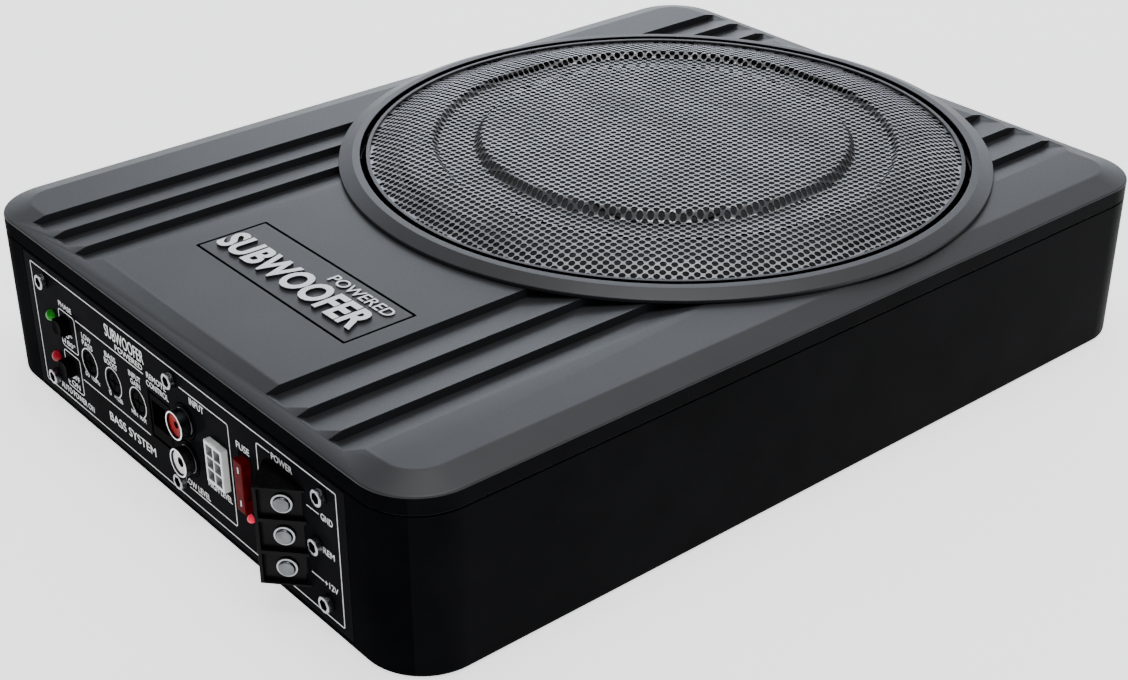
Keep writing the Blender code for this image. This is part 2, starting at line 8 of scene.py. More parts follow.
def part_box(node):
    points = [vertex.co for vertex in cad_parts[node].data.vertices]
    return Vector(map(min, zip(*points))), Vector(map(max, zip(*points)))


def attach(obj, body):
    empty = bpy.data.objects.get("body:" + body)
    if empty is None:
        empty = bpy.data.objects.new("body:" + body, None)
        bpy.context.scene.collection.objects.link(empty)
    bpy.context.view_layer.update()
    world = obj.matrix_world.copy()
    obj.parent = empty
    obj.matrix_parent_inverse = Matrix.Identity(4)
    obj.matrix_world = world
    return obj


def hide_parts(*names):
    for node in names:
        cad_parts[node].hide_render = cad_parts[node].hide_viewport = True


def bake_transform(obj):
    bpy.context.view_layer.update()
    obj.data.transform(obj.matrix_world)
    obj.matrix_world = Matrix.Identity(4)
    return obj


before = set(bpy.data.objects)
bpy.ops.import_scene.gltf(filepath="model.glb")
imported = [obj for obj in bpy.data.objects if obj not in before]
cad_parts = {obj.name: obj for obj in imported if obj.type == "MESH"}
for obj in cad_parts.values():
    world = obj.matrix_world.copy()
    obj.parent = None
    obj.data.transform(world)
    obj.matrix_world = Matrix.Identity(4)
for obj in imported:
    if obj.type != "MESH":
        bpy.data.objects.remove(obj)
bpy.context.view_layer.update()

MM = 0.001

# The case and its cover.  The underside of the cover's plate is at COVER_UNDER, and its skirt's
# foot, which meets the case, at COVER_FOOT.
CORNER = 21.4
CHAMFER_IN, CHAMFER_DROP = 10.0, 2.6
WALL, FRONT_WALL, FLOOR = 2.5, 4.0, 2.5
COVER_WALL, COVER_UNDER, COVER_FOOT = 3.0, 60.0, 57.6
WINDOW_X, WINDOW_Z = (-88.5, 82.0), (14.0, 46.0)
BOSS_R, POST_R, SCREW_HOLE_R = 6.5, 5.0, 1.8
# The grooves' steep walls, from left to right, and how deep, wide and long the grooves are.
LEFT_WALLS = (-100.0, -84.4, -68.3)
RIGHT_WALLS = (53.3, 70.3, 86.8)
GROOVE_DEPTH, GROOVE_LAST, GROOVE_END_Y, GROOVE_RAMP = 3.1, 12.8, 164.0, 1.9
# The grille's square lattice of holes, and its sheet.
HOLE_PITCH, HOLE_R, HOLE_SIDES, SHEET = 2.7, 1.24, 8, 0.35
# The panel's print and parts.
PRINT_PROUD, LINE = 0.03, 0.34
SCREWS = [f"panel_screw_{n}" for n in range(1, 8)]
KNOBS = ("lowpass_knob", "bassboost_knob", "gain_knob")
BUTTONS = ("phase_button", "autopower_button")
THROUGH = 5.0


def span(node):
    """A CAD node's lowest corner, highest corner and middle, in millimetres."""
    low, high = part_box(node)
    return low / MM, high / MM, (low + high) / (2 * MM)


CASE_LOW, CASE_HIGH = span("lower_case")[:2]
HALF_W, FRONT, BACK = CASE_HIGH.x, CASE_LOW.y, CASE_HIGH.y
TOP = span("top_cover")[1].z
RING_HIGH, RING_MIDDLE = span("trim_ring")[1:]
AXIS = Vector((0.0, RING_MIDDLE.y, 0.0))


# ------------------------------------------------------------------ materials

def nodes_of(title):
    """A new material with its node tree and its Principled shader."""
    mat = bpy.data.materials.new(title)
    mat.use_nodes = True
    tree = mat.node_tree
    return mat, tree, tree.nodes["Principled BSDF"]


def put(node, **values):
    """Sets a node's inputs; an underscore in a name stands for a space."""
    for name, value in values.items():
        node.inputs[name.replace("_", " ")].default_value = value


def link(tree, source, socket, target, name):
    tree.links.new(source.outputs[socket], target.inputs[name])


def add(tree, kind, **values):
    """A new shader node with some inputs set."""
    node = tree.nodes.new("ShaderNode" + kind)
    put(node, **values)
    return node


def texture(tree, kind, stretch=None, **values):
    """A texture in object coordinates, with its scale in features per metre."""
    node = add(tree, "Tex" + kind, **values)
    source, socket = add(tree, "TexCoord"), "Object"
    if stretch:
        mapping = add(tree, "Mapping", Scale=stretch)
        link(tree, source, socket, mapping, "Vector")
        source, socket = mapping, "Vector"
    link(tree, source, socket, node, "Vector")
    return node


def ramp(tree, source, socket, stops):
    """A colour ramp over a node's output; stops are (position, colour)."""
    node = add(tree, "ValToRGB")
    elements = node.color_ramp.elements
    for index, (position, color) in enumerate(stops):
        element = elements[index] if index < 2 else elements.new(position)
        element.position = position
        element.color = (*color, 1.0)
    link(tree, source, socket, node, "Fac")
    return node


def spread(tree, source, socket, low, high):
    """Maps a node's output from the middle of its range to low..high."""
    node = add(tree, "MapRange", From_Min=0.3, From_Max=0.7, To_Min=low, To_Max=high)
    link(tree, source, socket, node, "Value")
    return node


def relief(tree, source, socket, shader, height):
    """Bump from a node's output, with its height in metres."""
    bump = add(tree, "Bump", Distance=height)
    link(tree, source, socket, bump, "Height")
    link(tree, bump, "Normal", shader, "Normal")


def bands(tree, direction, pitch_m, distortion):
    """Bands of one pitch across an object axis."""
    wave_pitch_m = 0.314  # at scale 1
    wave = texture(tree, "Wave", Scale=wave_pitch_m / pitch_m, Distortion=distortion)
    wave.bands_direction = direction
    return wave


def surface(title, dark, light, rough, metallic=0.0, patch=45, grain=1400, relief_um=10,
            specular=0.5, stretch=None, **extra):
    """A finish with soft patches of colour, a grain in its gloss and a relief in micrometres."""
    mat, tree, shader = nodes_of(title)
    put(shader, Metallic=metallic, Specular_IOR_Level=specular, **extra)
    patches = texture(tree, "Noise", Scale=patch, Detail=4.0)
    color = ramp(tree, patches, "Fac", [(0.3, dark), (0.7, light)])
    link(tree, color, "Color", shader, "Base Color")
    grains = texture(tree, "Noise", stretch, Scale=grain, Detail=2.0)
    gloss = spread(tree, grains, "Fac", *rough)
    link(tree, gloss, "Result", shader, "Roughness")
    relief(tree, grains, "Fac", shader, relief_um * 1e-6)
    return mat


def glow(title, dark, light, strength):
    """A tinted lens that is lit from inside."""
    return surface(title, dark, light, (0.03, 0.08), patch=420, grain=900, relief_um=20, specular=0.12,
                   Emission_Color=(*light, 1.0), Emission_Strength=strength, Subsurface_Weight=0.3,
                   Subsurface_Scale=0.001)


def windings(title, dark, light, pitch_m):
    """Enamelled wire in turns: fine bands that go round the part."""
    mat, tree, shader = nodes_of(title)
    wave = bands(tree, "Z", pitch_m, 0.6)
    color = ramp(tree, wave, "Fac", [(0.1, dark), (0.8, light)])
    link(tree, color, "Color", shader, "Base Color")
    relief(tree, wave, "Fac", shader, pitch_m / 3)
    put(shader, Metallic=0.8, Roughness=0.3)
    return mat


def woven(title, dark, light, pitch_m):
    """Resin-stiffened cloth: two crossed sets of threads."""
    mat, tree, shader = nodes_of(title)
    both = add(tree, "Math")
    both.operation = "MULTIPLY"
    for index, direction in enumerate("XY"):
        wave = bands(tree, direction, pitch_m, 0.4)
        tree.links.new(wave.outputs["Fac"], both.inputs[index])
    color = ramp(tree, both, "Value", [(0.0, dark), (0.6, light)])
    link(tree, color, "Color", shader, "Base Color")
    relief(tree, both, "Value", shader, pitch_m / 4)
    put(shader, Roughness=0.9, Sheen_Weight=0.2)
    return mat


def circuit_board(title):
    """Green solder mask over copper tracks, with pale pads."""
    mat, tree, shader = nodes_of(title)
    cells = texture(tree, "Voronoi", Scale=160.0)
    cells.distance = "MANHATTAN"
    color = ramp(tree, cells, "Distance", [(0.06, (0.55, 0.55, 0.5)), (0.08, (0.03, 0.24, 0.08)),
                                           (0.5, (0.01, 0.11, 0.04))])
    link(tree, color, "Color", shader, "Base Color")
    gloss = spread(tree, cells, "Distance", 0.25, 0.45)
    link(tree, gloss, "Result", shader, "Roughness")
    relief(tree, cells, "Distance", shader, 0.00003)
    return mat


CASE_BLACK = surface("case_black_coat", (0.0016, 0.0017, 0.0021), (0.0030, 0.0031, 0.0037), (0.36, 0.5),
    relief_um=20, specular=0.01)
# A copy of the case's black with almost no gloss, used as painted shade: in holes, gaps and hollows, and
# on front faces.
SHADE_BLACK = surface("painted_shade_black", (0.0016, 0.0017, 0.0021), (0.0030, 0.0031, 0.0037),
    (0.45, 0.58), relief_um=12, specular=0.001)
COVER_GREY = surface("cover_grey_coat", (0.015, 0.0155, 0.0175), (0.020, 0.0207, 0.0232), (0.40, 0.48),
    relief_um=12)
RING_GREY = surface("ring_grey_coat", (0.015, 0.0155, 0.0175), (0.020, 0.0207, 0.0232), (0.36, 0.44))
GRILLE_METAL = surface("grille_paint", (0.25, 0.25, 0.26), (0.37, 0.37, 0.385), (0.34, 0.50),
    metallic=0.85, grain=900, relief_um=15)
GRILLE_SHADE = surface("grille_paint_in_shade", (0.10, 0.10, 0.105), (0.15, 0.15, 0.157), (0.4, 0.55),
    metallic=0.85, grain=900, relief_um=15)
PANEL_BLACK = surface("panel_gloss", (0.004, 0.004, 0.0046), (0.0065, 0.0066, 0.0075), (0.10, 0.18),
    grain=500, relief_um=3, specular=0.001)
PRINT_WHITE = surface("print_ink", (0.70, 0.71, 0.72), (0.85, 0.86, 0.87), (0.45, 0.6), patch=700,
    relief_um=6)
ZINC = surface("bright_zinc", (0.24, 0.25, 0.265), (0.36, 0.37, 0.39), (0.18, 0.30), metallic=1.0,
    patch=300, grain=2500, relief_um=6, stretch=(1.0, 6.0, 1.0))
# A dimmer copy of the zinc for the terminal screws' faces, as painted shade.
SCREW_FACE_SHADE = surface("screw_face_painted_shade", (0.09, 0.094, 0.10), (0.14, 0.144, 0.15), (0.22, 0.34), metallic=1.0,
    patch=300, grain=2500, relief_um=6, stretch=(1.0, 6.0, 1.0))
NICKEL = surface("nickel_plate", (0.66, 0.66, 0.66), (0.80, 0.80, 0.80), (0.10, 0.20), metallic=1.0,
    patch=300, grain=1800, relief_um=4)
# A dark copy of the nickel for the phono shells' sides, as painted shade.
SHELL_SIDE_SHADE = surface("nickel_side_painted_shade", (0.035, 0.035, 0.038), (0.06, 0.06, 0.064), (0.26, 0.38),
    metallic=1.0, patch=300, grain=1800, relief_um=4)
BLACK_PLASTIC = surface("black_moulding", (0.0016, 0.0016, 0.0019), (0.0032, 0.0032, 0.0037),
    (0.34, 0.46), patch=120, grain=2600, relief_um=12, specular=0.002)
BLOCK_PLASTIC = surface("block_moulding", (0.0024, 0.0024, 0.0028), (0.0046, 0.0046, 0.0052),
    (0.24, 0.34), patch=120, grain=2600, relief_um=12, specular=0.05)
SOCKET_SHADE = surface("nylon_in_shade", (0.24, 0.245, 0.25), (0.34, 0.345, 0.35), (0.5, 0.6),
    patch=200)
WHITE_PLASTIC = surface("white_nylon", (0.70, 0.71, 0.71), (0.82, 0.82, 0.81), (0.38, 0.5), patch=200,
    relief_um=10)
RED_PLASTIC = surface("red_moulding", (0.19, 0.0006, 0.0008), (0.26, 0.001, 0.0013), (0.26, 0.36),
    patch=200, relief_um=6, specular=0.03)
POT_PLASTIC = surface("pot_moulding", (0.02, 0.03, 0.05), (0.035, 0.05, 0.08), (0.45, 0.6), patch=200)
FUSE_RED = surface("fuse_clear_red", (0.055, 0.0002, 0.001), (0.11, 0.0004, 0.002), (0.14, 0.22),
    patch=260, grain=700, relief_um=4, specular=0.01, Subsurface_Weight=0.2, Subsurface_Scale=0.0015)
GREEN_LENS = glow("green_lens", (0.002, 0.05, 0.002), (0.006, 0.24, 0.006), 0.22)
RED_LENS = glow("red_lens", (0.07, 0.001, 0.004), (0.34, 0.006, 0.02), 0.30)
LIT_LENS = glow("lit_red_lens", (0.30, 0.004, 0.015), (0.80, 0.02, 0.07), 0.7)
LETTER_SILVER = surface("letter_silver", (0.80, 0.81, 0.83), (0.92, 0.93, 0.95), (0.3, 0.4),
    metallic=0.15, patch=120, grain=1600, relief_um=8)
BASKET_BLACK = surface("basket_coat", (0.003, 0.003, 0.0035), (0.006, 0.006, 0.0065), (0.4, 0.55),
    relief_um=20)
FOAM = surface("gasket_foam", (0.003, 0.003, 0.0035), (0.007, 0.007, 0.0075), (0.85, 0.97), grain=2200,
    relief_um=120)
MOTOR_STEEL = surface("motor_zinc", (0.40, 0.41, 0.42), (0.56, 0.55, 0.52), (0.25, 0.42), metallic=1.0,
    grain=1000, stretch=(1.0, 1.0, 8.0))
FERRITE = surface("ferrite", (0.030, 0.030, 0.033), (0.055, 0.054, 0.056), (0.55, 0.75), grain=1800,
    relief_um=50)
CONE_PAPER = surface("coated_paper", (0.003, 0.003, 0.0035), (0.006, 0.006, 0.0065), (0.6, 0.8),
    patch=300, grain=1500, relief_um=70)
RUBBER = surface("soft_rubber", (0.003, 0.003, 0.003), (0.006, 0.006, 0.006), (0.6, 0.72), patch=150,
    relief_um=20)
ALUMINIUM = surface("extruded_aluminium", (0.58, 0.59, 0.60), (0.74, 0.74, 0.75), (0.25, 0.4),
    metallic=1.0, grain=600, stretch=(1.0, 12.0, 1.0))
COPPER = windings("copper_turns", (0.25, 0.09, 0.03), (0.62, 0.30, 0.11), 0.0006)
SPIDER_CLOTH = woven("spider_weave", (0.20, 0.13, 0.05), (0.66, 0.50, 0.26), 0.0008)
BOARD_GREEN = circuit_board("solder_mask")


# ------------------------------------------------------------------ mesh helpers

OUTWARD = Matrix.Rotation(pi / 2, 4, "X")


def outward(x, z):
    """Puts a part on the panel: its own +Z comes out of the face, to -Y."""
    return Matrix.Translation((x * MM, FRONT * MM, z * MM)) @ OUTWARD


def place(bm, matrix):
    bmesh.ops.transform(bm, matrix=matrix, verts=bm.verts)
    return bm


def show(title, data):
    """A new object in the scene."""
    obj = bpy.data.objects.new(title, data)
    bpy.context.scene.collection.objects.link(obj)
    return obj


def solid(title, bm, turn_out=True):
    """A plain object from a bmesh, with its faces turned to point out."""
    if turn_out:
        bmesh.ops.recalc_face_normals(bm, faces=bm.faces)
    mesh = bpy.data.meshes.new(title)
    bm.to_mesh(mesh)
    bm.free()
    return show(title, mesh)


def gather(bm, other):
    """Moves one bmesh's faces into another."""
    mesh = bpy.data.meshes.new("part")
    other.to_mesh(mesh)
    other.free()
    bm.from_mesh(mesh)
    bpy.data.meshes.remove(mesh)


def result(obj):
    """A new mesh of an object as it stands, with its modifiers."""
    depsgraph = bpy.context.evaluated_depsgraph_get()
    return bpy.data.meshes.new_from_object(obj.evaluated_get(depsgraph))


def settle(obj):
    """Applies an object's modifiers to its mesh."""
    mesh = result(obj)
    obj.modifiers.clear()
    old, obj.data = obj.data, mesh
    bpy.data.meshes.remove(old)
    return obj


def cut(obj, *shapes, operation="DIFFERENCE"):
    """Cuts bmeshes out of an object, or joins them to it."""
    for bm in shapes:
        tool = solid("tool", bm)
        mod = obj.modifiers.new("cut", "BOOLEAN")
        mod.operation = operation
        mod.solver = "EXACT"
        mod.object = tool
        settle(obj)
        bpy.data.objects.remove(tool, do_unlink=True)
    return obj


def soften(obj, width, degrees=40.0, segments=2):
    """Rounds an object's sharp edges."""
    mod = obj.modifiers.new("soften", "BEVEL")
    mod.width = width * MM
    mod.segments = segments
    mod.limit_method = "ANGLE"
    mod.angle_limit = radians(degrees)
    mod.use_clamp_overlap = True
    return settle(obj)


def dress(obj, mat, body="root", stands_for=(), smooth=32.0, second=None, picks=None):
    """Gives a piece its finish and body, and hides the CAD nodes that it stands for.

    picks(centre in mm, normal) gives 0 for a face in the finish mat, and 1 (or true) for one in
    second; where second is a pair, 2 is the last of them."""
    obj.data.materials.clear()
    for finish in (mat, *(second if isinstance(second, tuple) else (second,))):
        if finish:
            obj.data.materials.append(finish)
    for polygon in obj.data.polygons:
        polygon.material_index = int(bool(second) and picks(polygon.center / MM, polygon.normal))
    obj.data.shade_smooth()
    obj.data.set_sharp_from_angle(angle=radians(smooth))
    flat = obj.modifiers.new("flat", "WEIGHTED_NORMAL")
    flat.keep_sharp = True
    flat.weight = 100
    settle(obj)
    if stands_for:
        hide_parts(*stands_for)
    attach(obj, body)
    return obj


def fillet(points, radius, steps=4, closed=True):
    """A 2D outline with its corners rounded; radius is one value or one for each point."""
    radii = radius if isinstance(radius, (list, tuple)) else [radius] * len(points)
    made = []
    for index, (point, r) in enumerate(zip(points, radii)):
        at_end = not closed and index in (0, len(points) - 1)
        if r <= 0 or at_end:
            made.append(tuple(point))
            continue
        here = Vector(point)
        back = Vector(points[index - 1]) - here
        ahead = Vector(points[(index + 1) % len(points)]) - here
        half = back.angle(ahead) / 2
        reach = min(r / tan(half), 0.48 * back.length, 0.48 * ahead.length)
        start, stop = here + back.normalized() * reach, here + ahead.normalized() * reach
        for step in range(steps + 1):
            t = step / steps
            made.append(tuple(start * (1 - t) ** 2 + here * 2 * t * (1 - t) + stop * t ** 2))
    return made


def rounded_rect(x, y, radius, steps=16):
    """Points round a rectangle with true arcs at its corners."""
    points = []
    centres = ((x[1] - radius, y[1] - radius), (x[0] + radius, y[1] - radius),
               (x[0] + radius, y[0] + radius), (x[1] - radius, y[0] + radius))
    for quarter, (cx, cy) in enumerate(centres):
        for step in range(steps + 1):
            angle = pi / 2 * (quarter + step / steps)
            points.append((cx + radius * cos(angle), cy + radius * sin(angle)))
    return points


def skin(rings):
    """A closed solid over rings of equal count, of points in metres, first to last."""
    bm = bmesh.new()
    rings = [[bm.verts.new(point) for point in ring] for ring in rings]
    for low, high in zip(rings, rings[1:]):
        for k, (a, b) in enumerate(zip(low, high)):
            n = (k + 1) % len(low)
            bm.faces.new((a, low[n], high[n], b))
    bm.faces.new(rings[0])
    bm.faces.new(rings[-1])
    return bm


def loft(sections):
    """A closed solid through outlines of equal count, each (points, height)."""
    return skin([[(px * MM, py * MM, z * MM) for px, py in points] for points, z in sections])


def turned(profile, steps=48):
    """A turned solid from (radius, height) pairs, a loop or a line that ends on the axis."""
    bm = bmesh.new()
    rings = []
    for radius, height in profile:
        count = 1 if radius < 1e-6 else steps
        rings.append([bm.verts.new((radius * MM * cos(tau * k / steps),
                                    radius * MM * sin(tau * k / steps), height * MM))
                      for k in range(count)])
    pairs = list(zip(rings, rings[1:]))
    if len(rings[0]) > 1 and len(rings[-1]) > 1:
        pairs.append((rings[-1], rings[0]))
    for first, second in pairs:
        for k in range(steps):
            n = (k + 1) % steps
            loop = (first[k % len(first)], first[n % len(first)],
                    second[n % len(second)], second[k % len(second)])
            unique = list(dict.fromkeys(loop))
            if len(unique) > 2:
                bm.faces.new(unique)
    return bm


def box(x, y, z, rounding=0.0, segments=2):
    """A box between three pairs of limits, with its edges rounded."""
    bm = bmesh.new()
    bmesh.ops.create_cube(bm, size=1.0)
    size = Vector((x[1] - x[0], y[1] - y[0], z[1] - z[0]))
    middle = Vector((x[0] + x[1], y[0] + y[1], z[0] + z[1])) / 2
    bmesh.ops.scale(bm, vec=size * MM, verts=bm.verts)
    bmesh.ops.translate(bm, vec=middle * MM, verts=bm.verts)
    if rounding:
        bmesh.ops.bevel(bm, geom=list(bm.edges), offset=rounding * MM, segments=segments,
                        profile=0.5, affect="EDGES")
    return bm


def node_box(node, rounding=0.0, segments=2, y=None, spare=0.0):
    """A box over a CAD node's own, let out by spare sideways, and between y's limits if given."""
    low, high, _ = span(node)
    return box((low.x - spare, high.x + spare), y or (low.y, high.y), (low.z - spare, high.z + spare),
               rounding, segments)


def rod(radius, low, high, steps=48):
    """An upright cylinder, for bosses and for boring holes."""
    return turned([(0, high), (radius, high), (radius, low), (0, low)], steps)


def on_axis(bm):
    """Moves a shape that was turned about the origin to the driver's axis."""
    return place(bm, Matrix.Translation(AXIS * MM))


def off_axis(centre):
    """How far a point is from the driver's axis."""
    return hypot(centre.x, centre.y - AXIS.y)


def upright(node):
    """The place of a turned part that stands on the floor under a node's middle."""
    _, _, middle = span(node)
    return Matrix.Translation((middle.x * MM, middle.y * MM, 0))


def facing(node):
    """The place of a turned part on the panel at a node's middle."""
    _, _, middle = span(node)
    return outward(middle.x, middle.z)


def prism(points, low, high):
    """An upright solid over a flat outline."""
    return loft([(points, low), (points, high)])


def hexagon(radius, turn=0.0):
    return [(radius * cos(pi * k / 3 + turn), radius * sin(pi * k / 3 + turn))
            for k in range(6)]


def join_bits(title, shapes, mat, body="root"):
    """One piece from several separate bmeshes."""
    bm = bmesh.new()
    for shape in shapes:
        gather(bm, shape)
    dress(solid(title, bm), mat, body=body)


def around(middle, size):
    return (middle - size / 2, middle + size / 2)


def out(height):
    """The y of a plane that stands a height out of the panel's face."""
    return FRONT - height


# ------------------------------------------------------------------ case

def quarter_turn(steps):
    """Pairs of (1 - sine, 1 - cosine) along a quarter turn."""
    angles = [pi / 2 * step / steps for step in range(steps + 1)]
    return [(1 - sin(angle), 1 - cos(angle)) for angle in angles]


def case_outline(inset):
    return rounded_rect((-HALF_W + inset, HALF_W - inset), (FRONT + inset, BACK - inset),
                        max(CORNER - inset, 1.0))


def tub():
    """The tub, with soft edges, the panel's rebate and window, and counterbored screw holes."""
    rim = CASE_HIGH.z
    edge, lip = 1.6, 0.35
    sections = [(case_outline(edge * s), edge * c) for s, c in quarter_turn(5)]
    sections += [(case_outline(lip * c), rim - lip * s) for s, c in quarter_turn(3)]
    inner = rounded_rect((-HALF_W + WALL, HALF_W - WALL), (FRONT + FRONT_WALL, BACK - WALL),
                         CORNER - WALL)
    sections += [(inner, rim), (inner, FLOOR)]
    case = solid("case_tub", loft(sections))
    gap = 0.3
    cut(case, node_box("control_panel", y=(out(THROUGH), span("control_panel")[1].y + gap), spare=gap))
    cut(case, box(WINDOW_X, (out(THROUGH), FRONT + FRONT_WALL + 2), WINDOW_Z))
    for number in range(1, 5):
        spot = upright(f"case_screw_{number}")
        bore = turned([(0, 12), (1.9, 12), (1.9, 3), (3.6, 3), (3.6, -2), (0, -2)], 32)
        cut(case, place(rod(BOSS_R, 1, 8, 32), spot), operation="UNION")
        cut(case, place(bore, spot))
    for name in SCREWS:
        cut(case, place(rod(SCREW_HOLE_R, -8, 8, 16), facing(name)))
    # The front face takes the glossless black as painted shade.
    dress(case, CASE_BLACK, stands_for=["lower_case"], second=SHADE_BLACK,
          picks=lambda centre, normal: centre.y < 0 and normal.y < -0.7)


def groove(start, stop):
    """One groove's cutter: a steep wall at start and a floor that rises to stop."""
    above = 1.0
    bottom = TOP - GROOVE_DEPTH
    lip = start + (stop - start) * (GROOVE_DEPTH + above) / GROOVE_DEPTH
    end = GROOVE_END_Y + (GROOVE_DEPTH + above) * GROOVE_RAMP
    bm = bmesh.new()
    sides = []
    for sign in (-1, 1):
        sides.append([bm.verts.new(Vector(p) * MM) for p in (
            (start, sign * GROOVE_END_Y, bottom), (start, sign * end, TOP + above),
            (lip, sign * end, TOP + above))])
    bm.faces.new(sides[0])
    bm.faces.new(sides[1])
    for k in range(3):
        n = (k + 1) % 3
        bm.faces.new((sides[0][k], sides[0][n], sides[1][n], sides[1][k]))
    return bm


def lid():
    """The lid: skirt, soft shoulder, wide chamfer, sloped grooves and the driver's seat."""
    low, lip, shoulder, brow = COVER_FOOT, 0.35, 0.9, 0.8
    shoulder_z = TOP - CHAMFER_DROP
    profile = [(0.0, low + lip), (0.0, shoulder_z), (CHAMFER_IN, TOP), (CHAMFER_IN + 4, TOP)]
    rounded = fillet(profile, [0, shoulder, brow * 6, 0], steps=5, closed=False)
    sections = [(case_outline(lip * s), low + lip * c) for s, c in quarter_turn(3)]
    sections += [(case_outline(inset), z) for inset, z in rounded[1:-1]]
    skirt = case_outline(COVER_WALL)
    sections = [(skirt, COVER_UNDER), (skirt, low)] + sections
    cover = solid("cover_lid", loft(sections))
    for number in range(1, 5):
        spot = upright(f"case_screw_{number}")
        cut(cover, place(rod(POST_R, 8.3, 61.5, 24), spot), operation="UNION")
        cut(cover, place(rod(SCREW_HOLE_R, 2, 20, 16), spot))
    for walls in (LEFT_WALLS, RIGHT_WALLS):
        for start, stop in zip(walls, walls[1:] + (walls[-1] + GROOVE_LAST,)):
            cut(cover, groove(start, stop))
    seat = turned([(0, TOP + 5), (115, TOP + 5), (115, 63), (104, 63), (104, 55), (0, 55)], 160)
    cut(cover, on_axis(seat))
    low, high, _ = span("badge_plate")
    line = 1.0
    rebate = rounded_rect((low.x - line, high.x + line), (low.y - line, high.y + line), 0.6, 4)
    cut(cover, prism(rebate, TOP - 1.3, TOP + 2))
    soften(cover, 0.28)

    def unlit(centre, normal):
        """The skirt, the driver's seat and the line round the badge, which the light misses; they get
        painted shade: the skirt the case's black, and the skirt's front, the seat and the line the
        glossless black.
        """
        in_seat = off_axis(centre) < 115.2 and centre.z < TOP - 0.2
        in_rebate = (low.x - 1.5 < centre.x < high.x + 1.5 and low.y - 1.5 < centre.y < high.y + 1.5
                     and centre.z < TOP - 0.05)
        in_skirt = abs(normal.z) < 0.3 and centre.z < TOP - CHAMFER_DROP
        if in_seat or in_rebate or (in_skirt and normal.y < -0.7):
            return 2
        return int(in_skirt)

    dress(cover, COVER_GREY, stands_for=["top_cover"], second=(CASE_BLACK, SHADE_BLACK),
          picks=unlit)


def case_screws():
    """Pan-head screws in the underside's counterbores, each with a hexagon socket."""
    for number in range(1, 5):
        name = f"case_screw_{number}"
        low, high, _ = span(name)
        head = fillet([(0, high.z), (1.5, high.z - 1), (1.5, 2.7), (3.1, 2.7), (3.1, low.z), (0, low.z)],
                      [0, 0, 0, 0.2, 0.7, 0], closed=False)
        screw = solid(f"underside_screw_{number}", turned(head, 40))
        cut(screw, prism(hexagon(1.5), low.z - 1, low.z + 1.4))
        screw.data.transform(upright(name))
        dress(screw, ZINC, stands_for=[name])


# ------------------------------------------------------------------ lettering

def lettering(bm, text, x, y, depth, boldness=0.0):
    """Adds a raised word that fills x and y, from height depth[0] to depth[1]."""
    curve = bpy.data.curves.new("word", "FONT")
    curve.body = text
    curve.size = 10 * MM
    curve.offset = boldness * MM
    curve.extrude = MM
    curve.resolution_u = 4
    word = show("word", curve)
    mesh = result(word)
    bpy.data.objects.remove(word, do_unlink=True)
    bpy.data.curves.remove(curve)
    points = [vertex.co for vertex in mesh.vertices]
    low = Vector([min(p[k] for p in points) for k in range(3)])
    high = Vector([max(p[k] for p in points) for k in range(3)])
    target = [x, y, depth]
    scale = Vector([(target[k][1] - target[k][0]) * MM / (high[k] - low[k]) for k in range(3)])
    start = Vector([target[k][0] * MM for k in range(3)])
    for vertex in mesh.vertices:
        vertex.co = start + (vertex.co - low) * scale
    bm.from_mesh(mesh)
    bpy.data.meshes.remove(mesh)


def badge_and_words():
    """The flush plate, and generic raised words on it."""
    low, high, middle = span("badge_plate")
    plate = prism(rounded_rect((low.x, high.x), (low.y, high.y), 0.4, 4), low.z, high.z)
    badge = soften(solid("badge_plate_fine", plate), 0.12)
    # The plate's sides take the glossless black as painted shade, the dark line round the badge.
    dress(badge, COVER_GREY, stands_for=["badge_plate"], second=SHADE_BLACK,
          picks=lambda centre, normal: normal.z < 0.3)
    bm = bmesh.new()
    lettering(bm, "SUBWOOFER", (low.x + 2.5, high.x - 4.0), (middle.y - 9.0, middle.y + 3.4),
              (TOP - 0.05, TOP + 1.0), boldness=0.34)
    lettering(bm, "POWERED", (middle.x + 6.0, high.x - 4.0), (middle.y + 5.6, middle.y + 10.4),
              (TOP - 0.05, TOP + 0.45), boldness=0.08)
    # The letters' sides take the ring's dark grey as painted shade.
    dress(solid("badge_words", bm, turn_out=False), LETTER_SILVER, second=RING_GREY,
          picks=lambda centre, normal: normal.z < 0.5)


def ribbon(bm, points, closed=False):
    """Adds a flat printed line on the panel; points are (x, z)."""
    count = len(points)
    sides = []
    for k, point in enumerate(points):
        here = Vector(point)
        before = Vector(points[k - 1]) if closed or k else None
        after = Vector(points[(k + 1) % count]) if closed or k < count - 1 else None
        one = (here - before).normalized() if before is not None else (after - here).normalized()
        two = (after - here).normalized() if after is not None else one
        bisector = (one + two).normalized()
        normal = Vector((-bisector.y, bisector.x))
        reach = LINE / 2 / max(0.3, normal.dot(Vector((-one.y, one.x))))
        pair = [here + normal * reach, here - normal * reach]
        sides.append([[bm.verts.new((p.x * MM, y * MM, p.y * MM)) for p in pair]
                      for y in (out(PRINT_PROUD), out(-0.1))])
    spans = list(zip(sides, sides[1:])) + ([(sides[-1], sides[0])] if closed else [])
    for (top_a, low_a), (top_b, low_b) in spans:
        bm.faces.new((top_a[0], top_a[1], top_b[1], top_b[0]))
        bm.faces.new((low_a[0], low_b[0], low_b[1], low_a[1]))
        bm.faces.new((top_a[0], top_b[0], low_b[0], low_a[0]))
        bm.faces.new((top_a[1], low_a[1], low_b[1], top_b[1]))
    if not closed:
        for top, low in (sides[0], sides[-1]):
            bm.faces.new((top[0], top[1], low[1], low[0]))


# ------------------------------------------------------------------ ring and grille

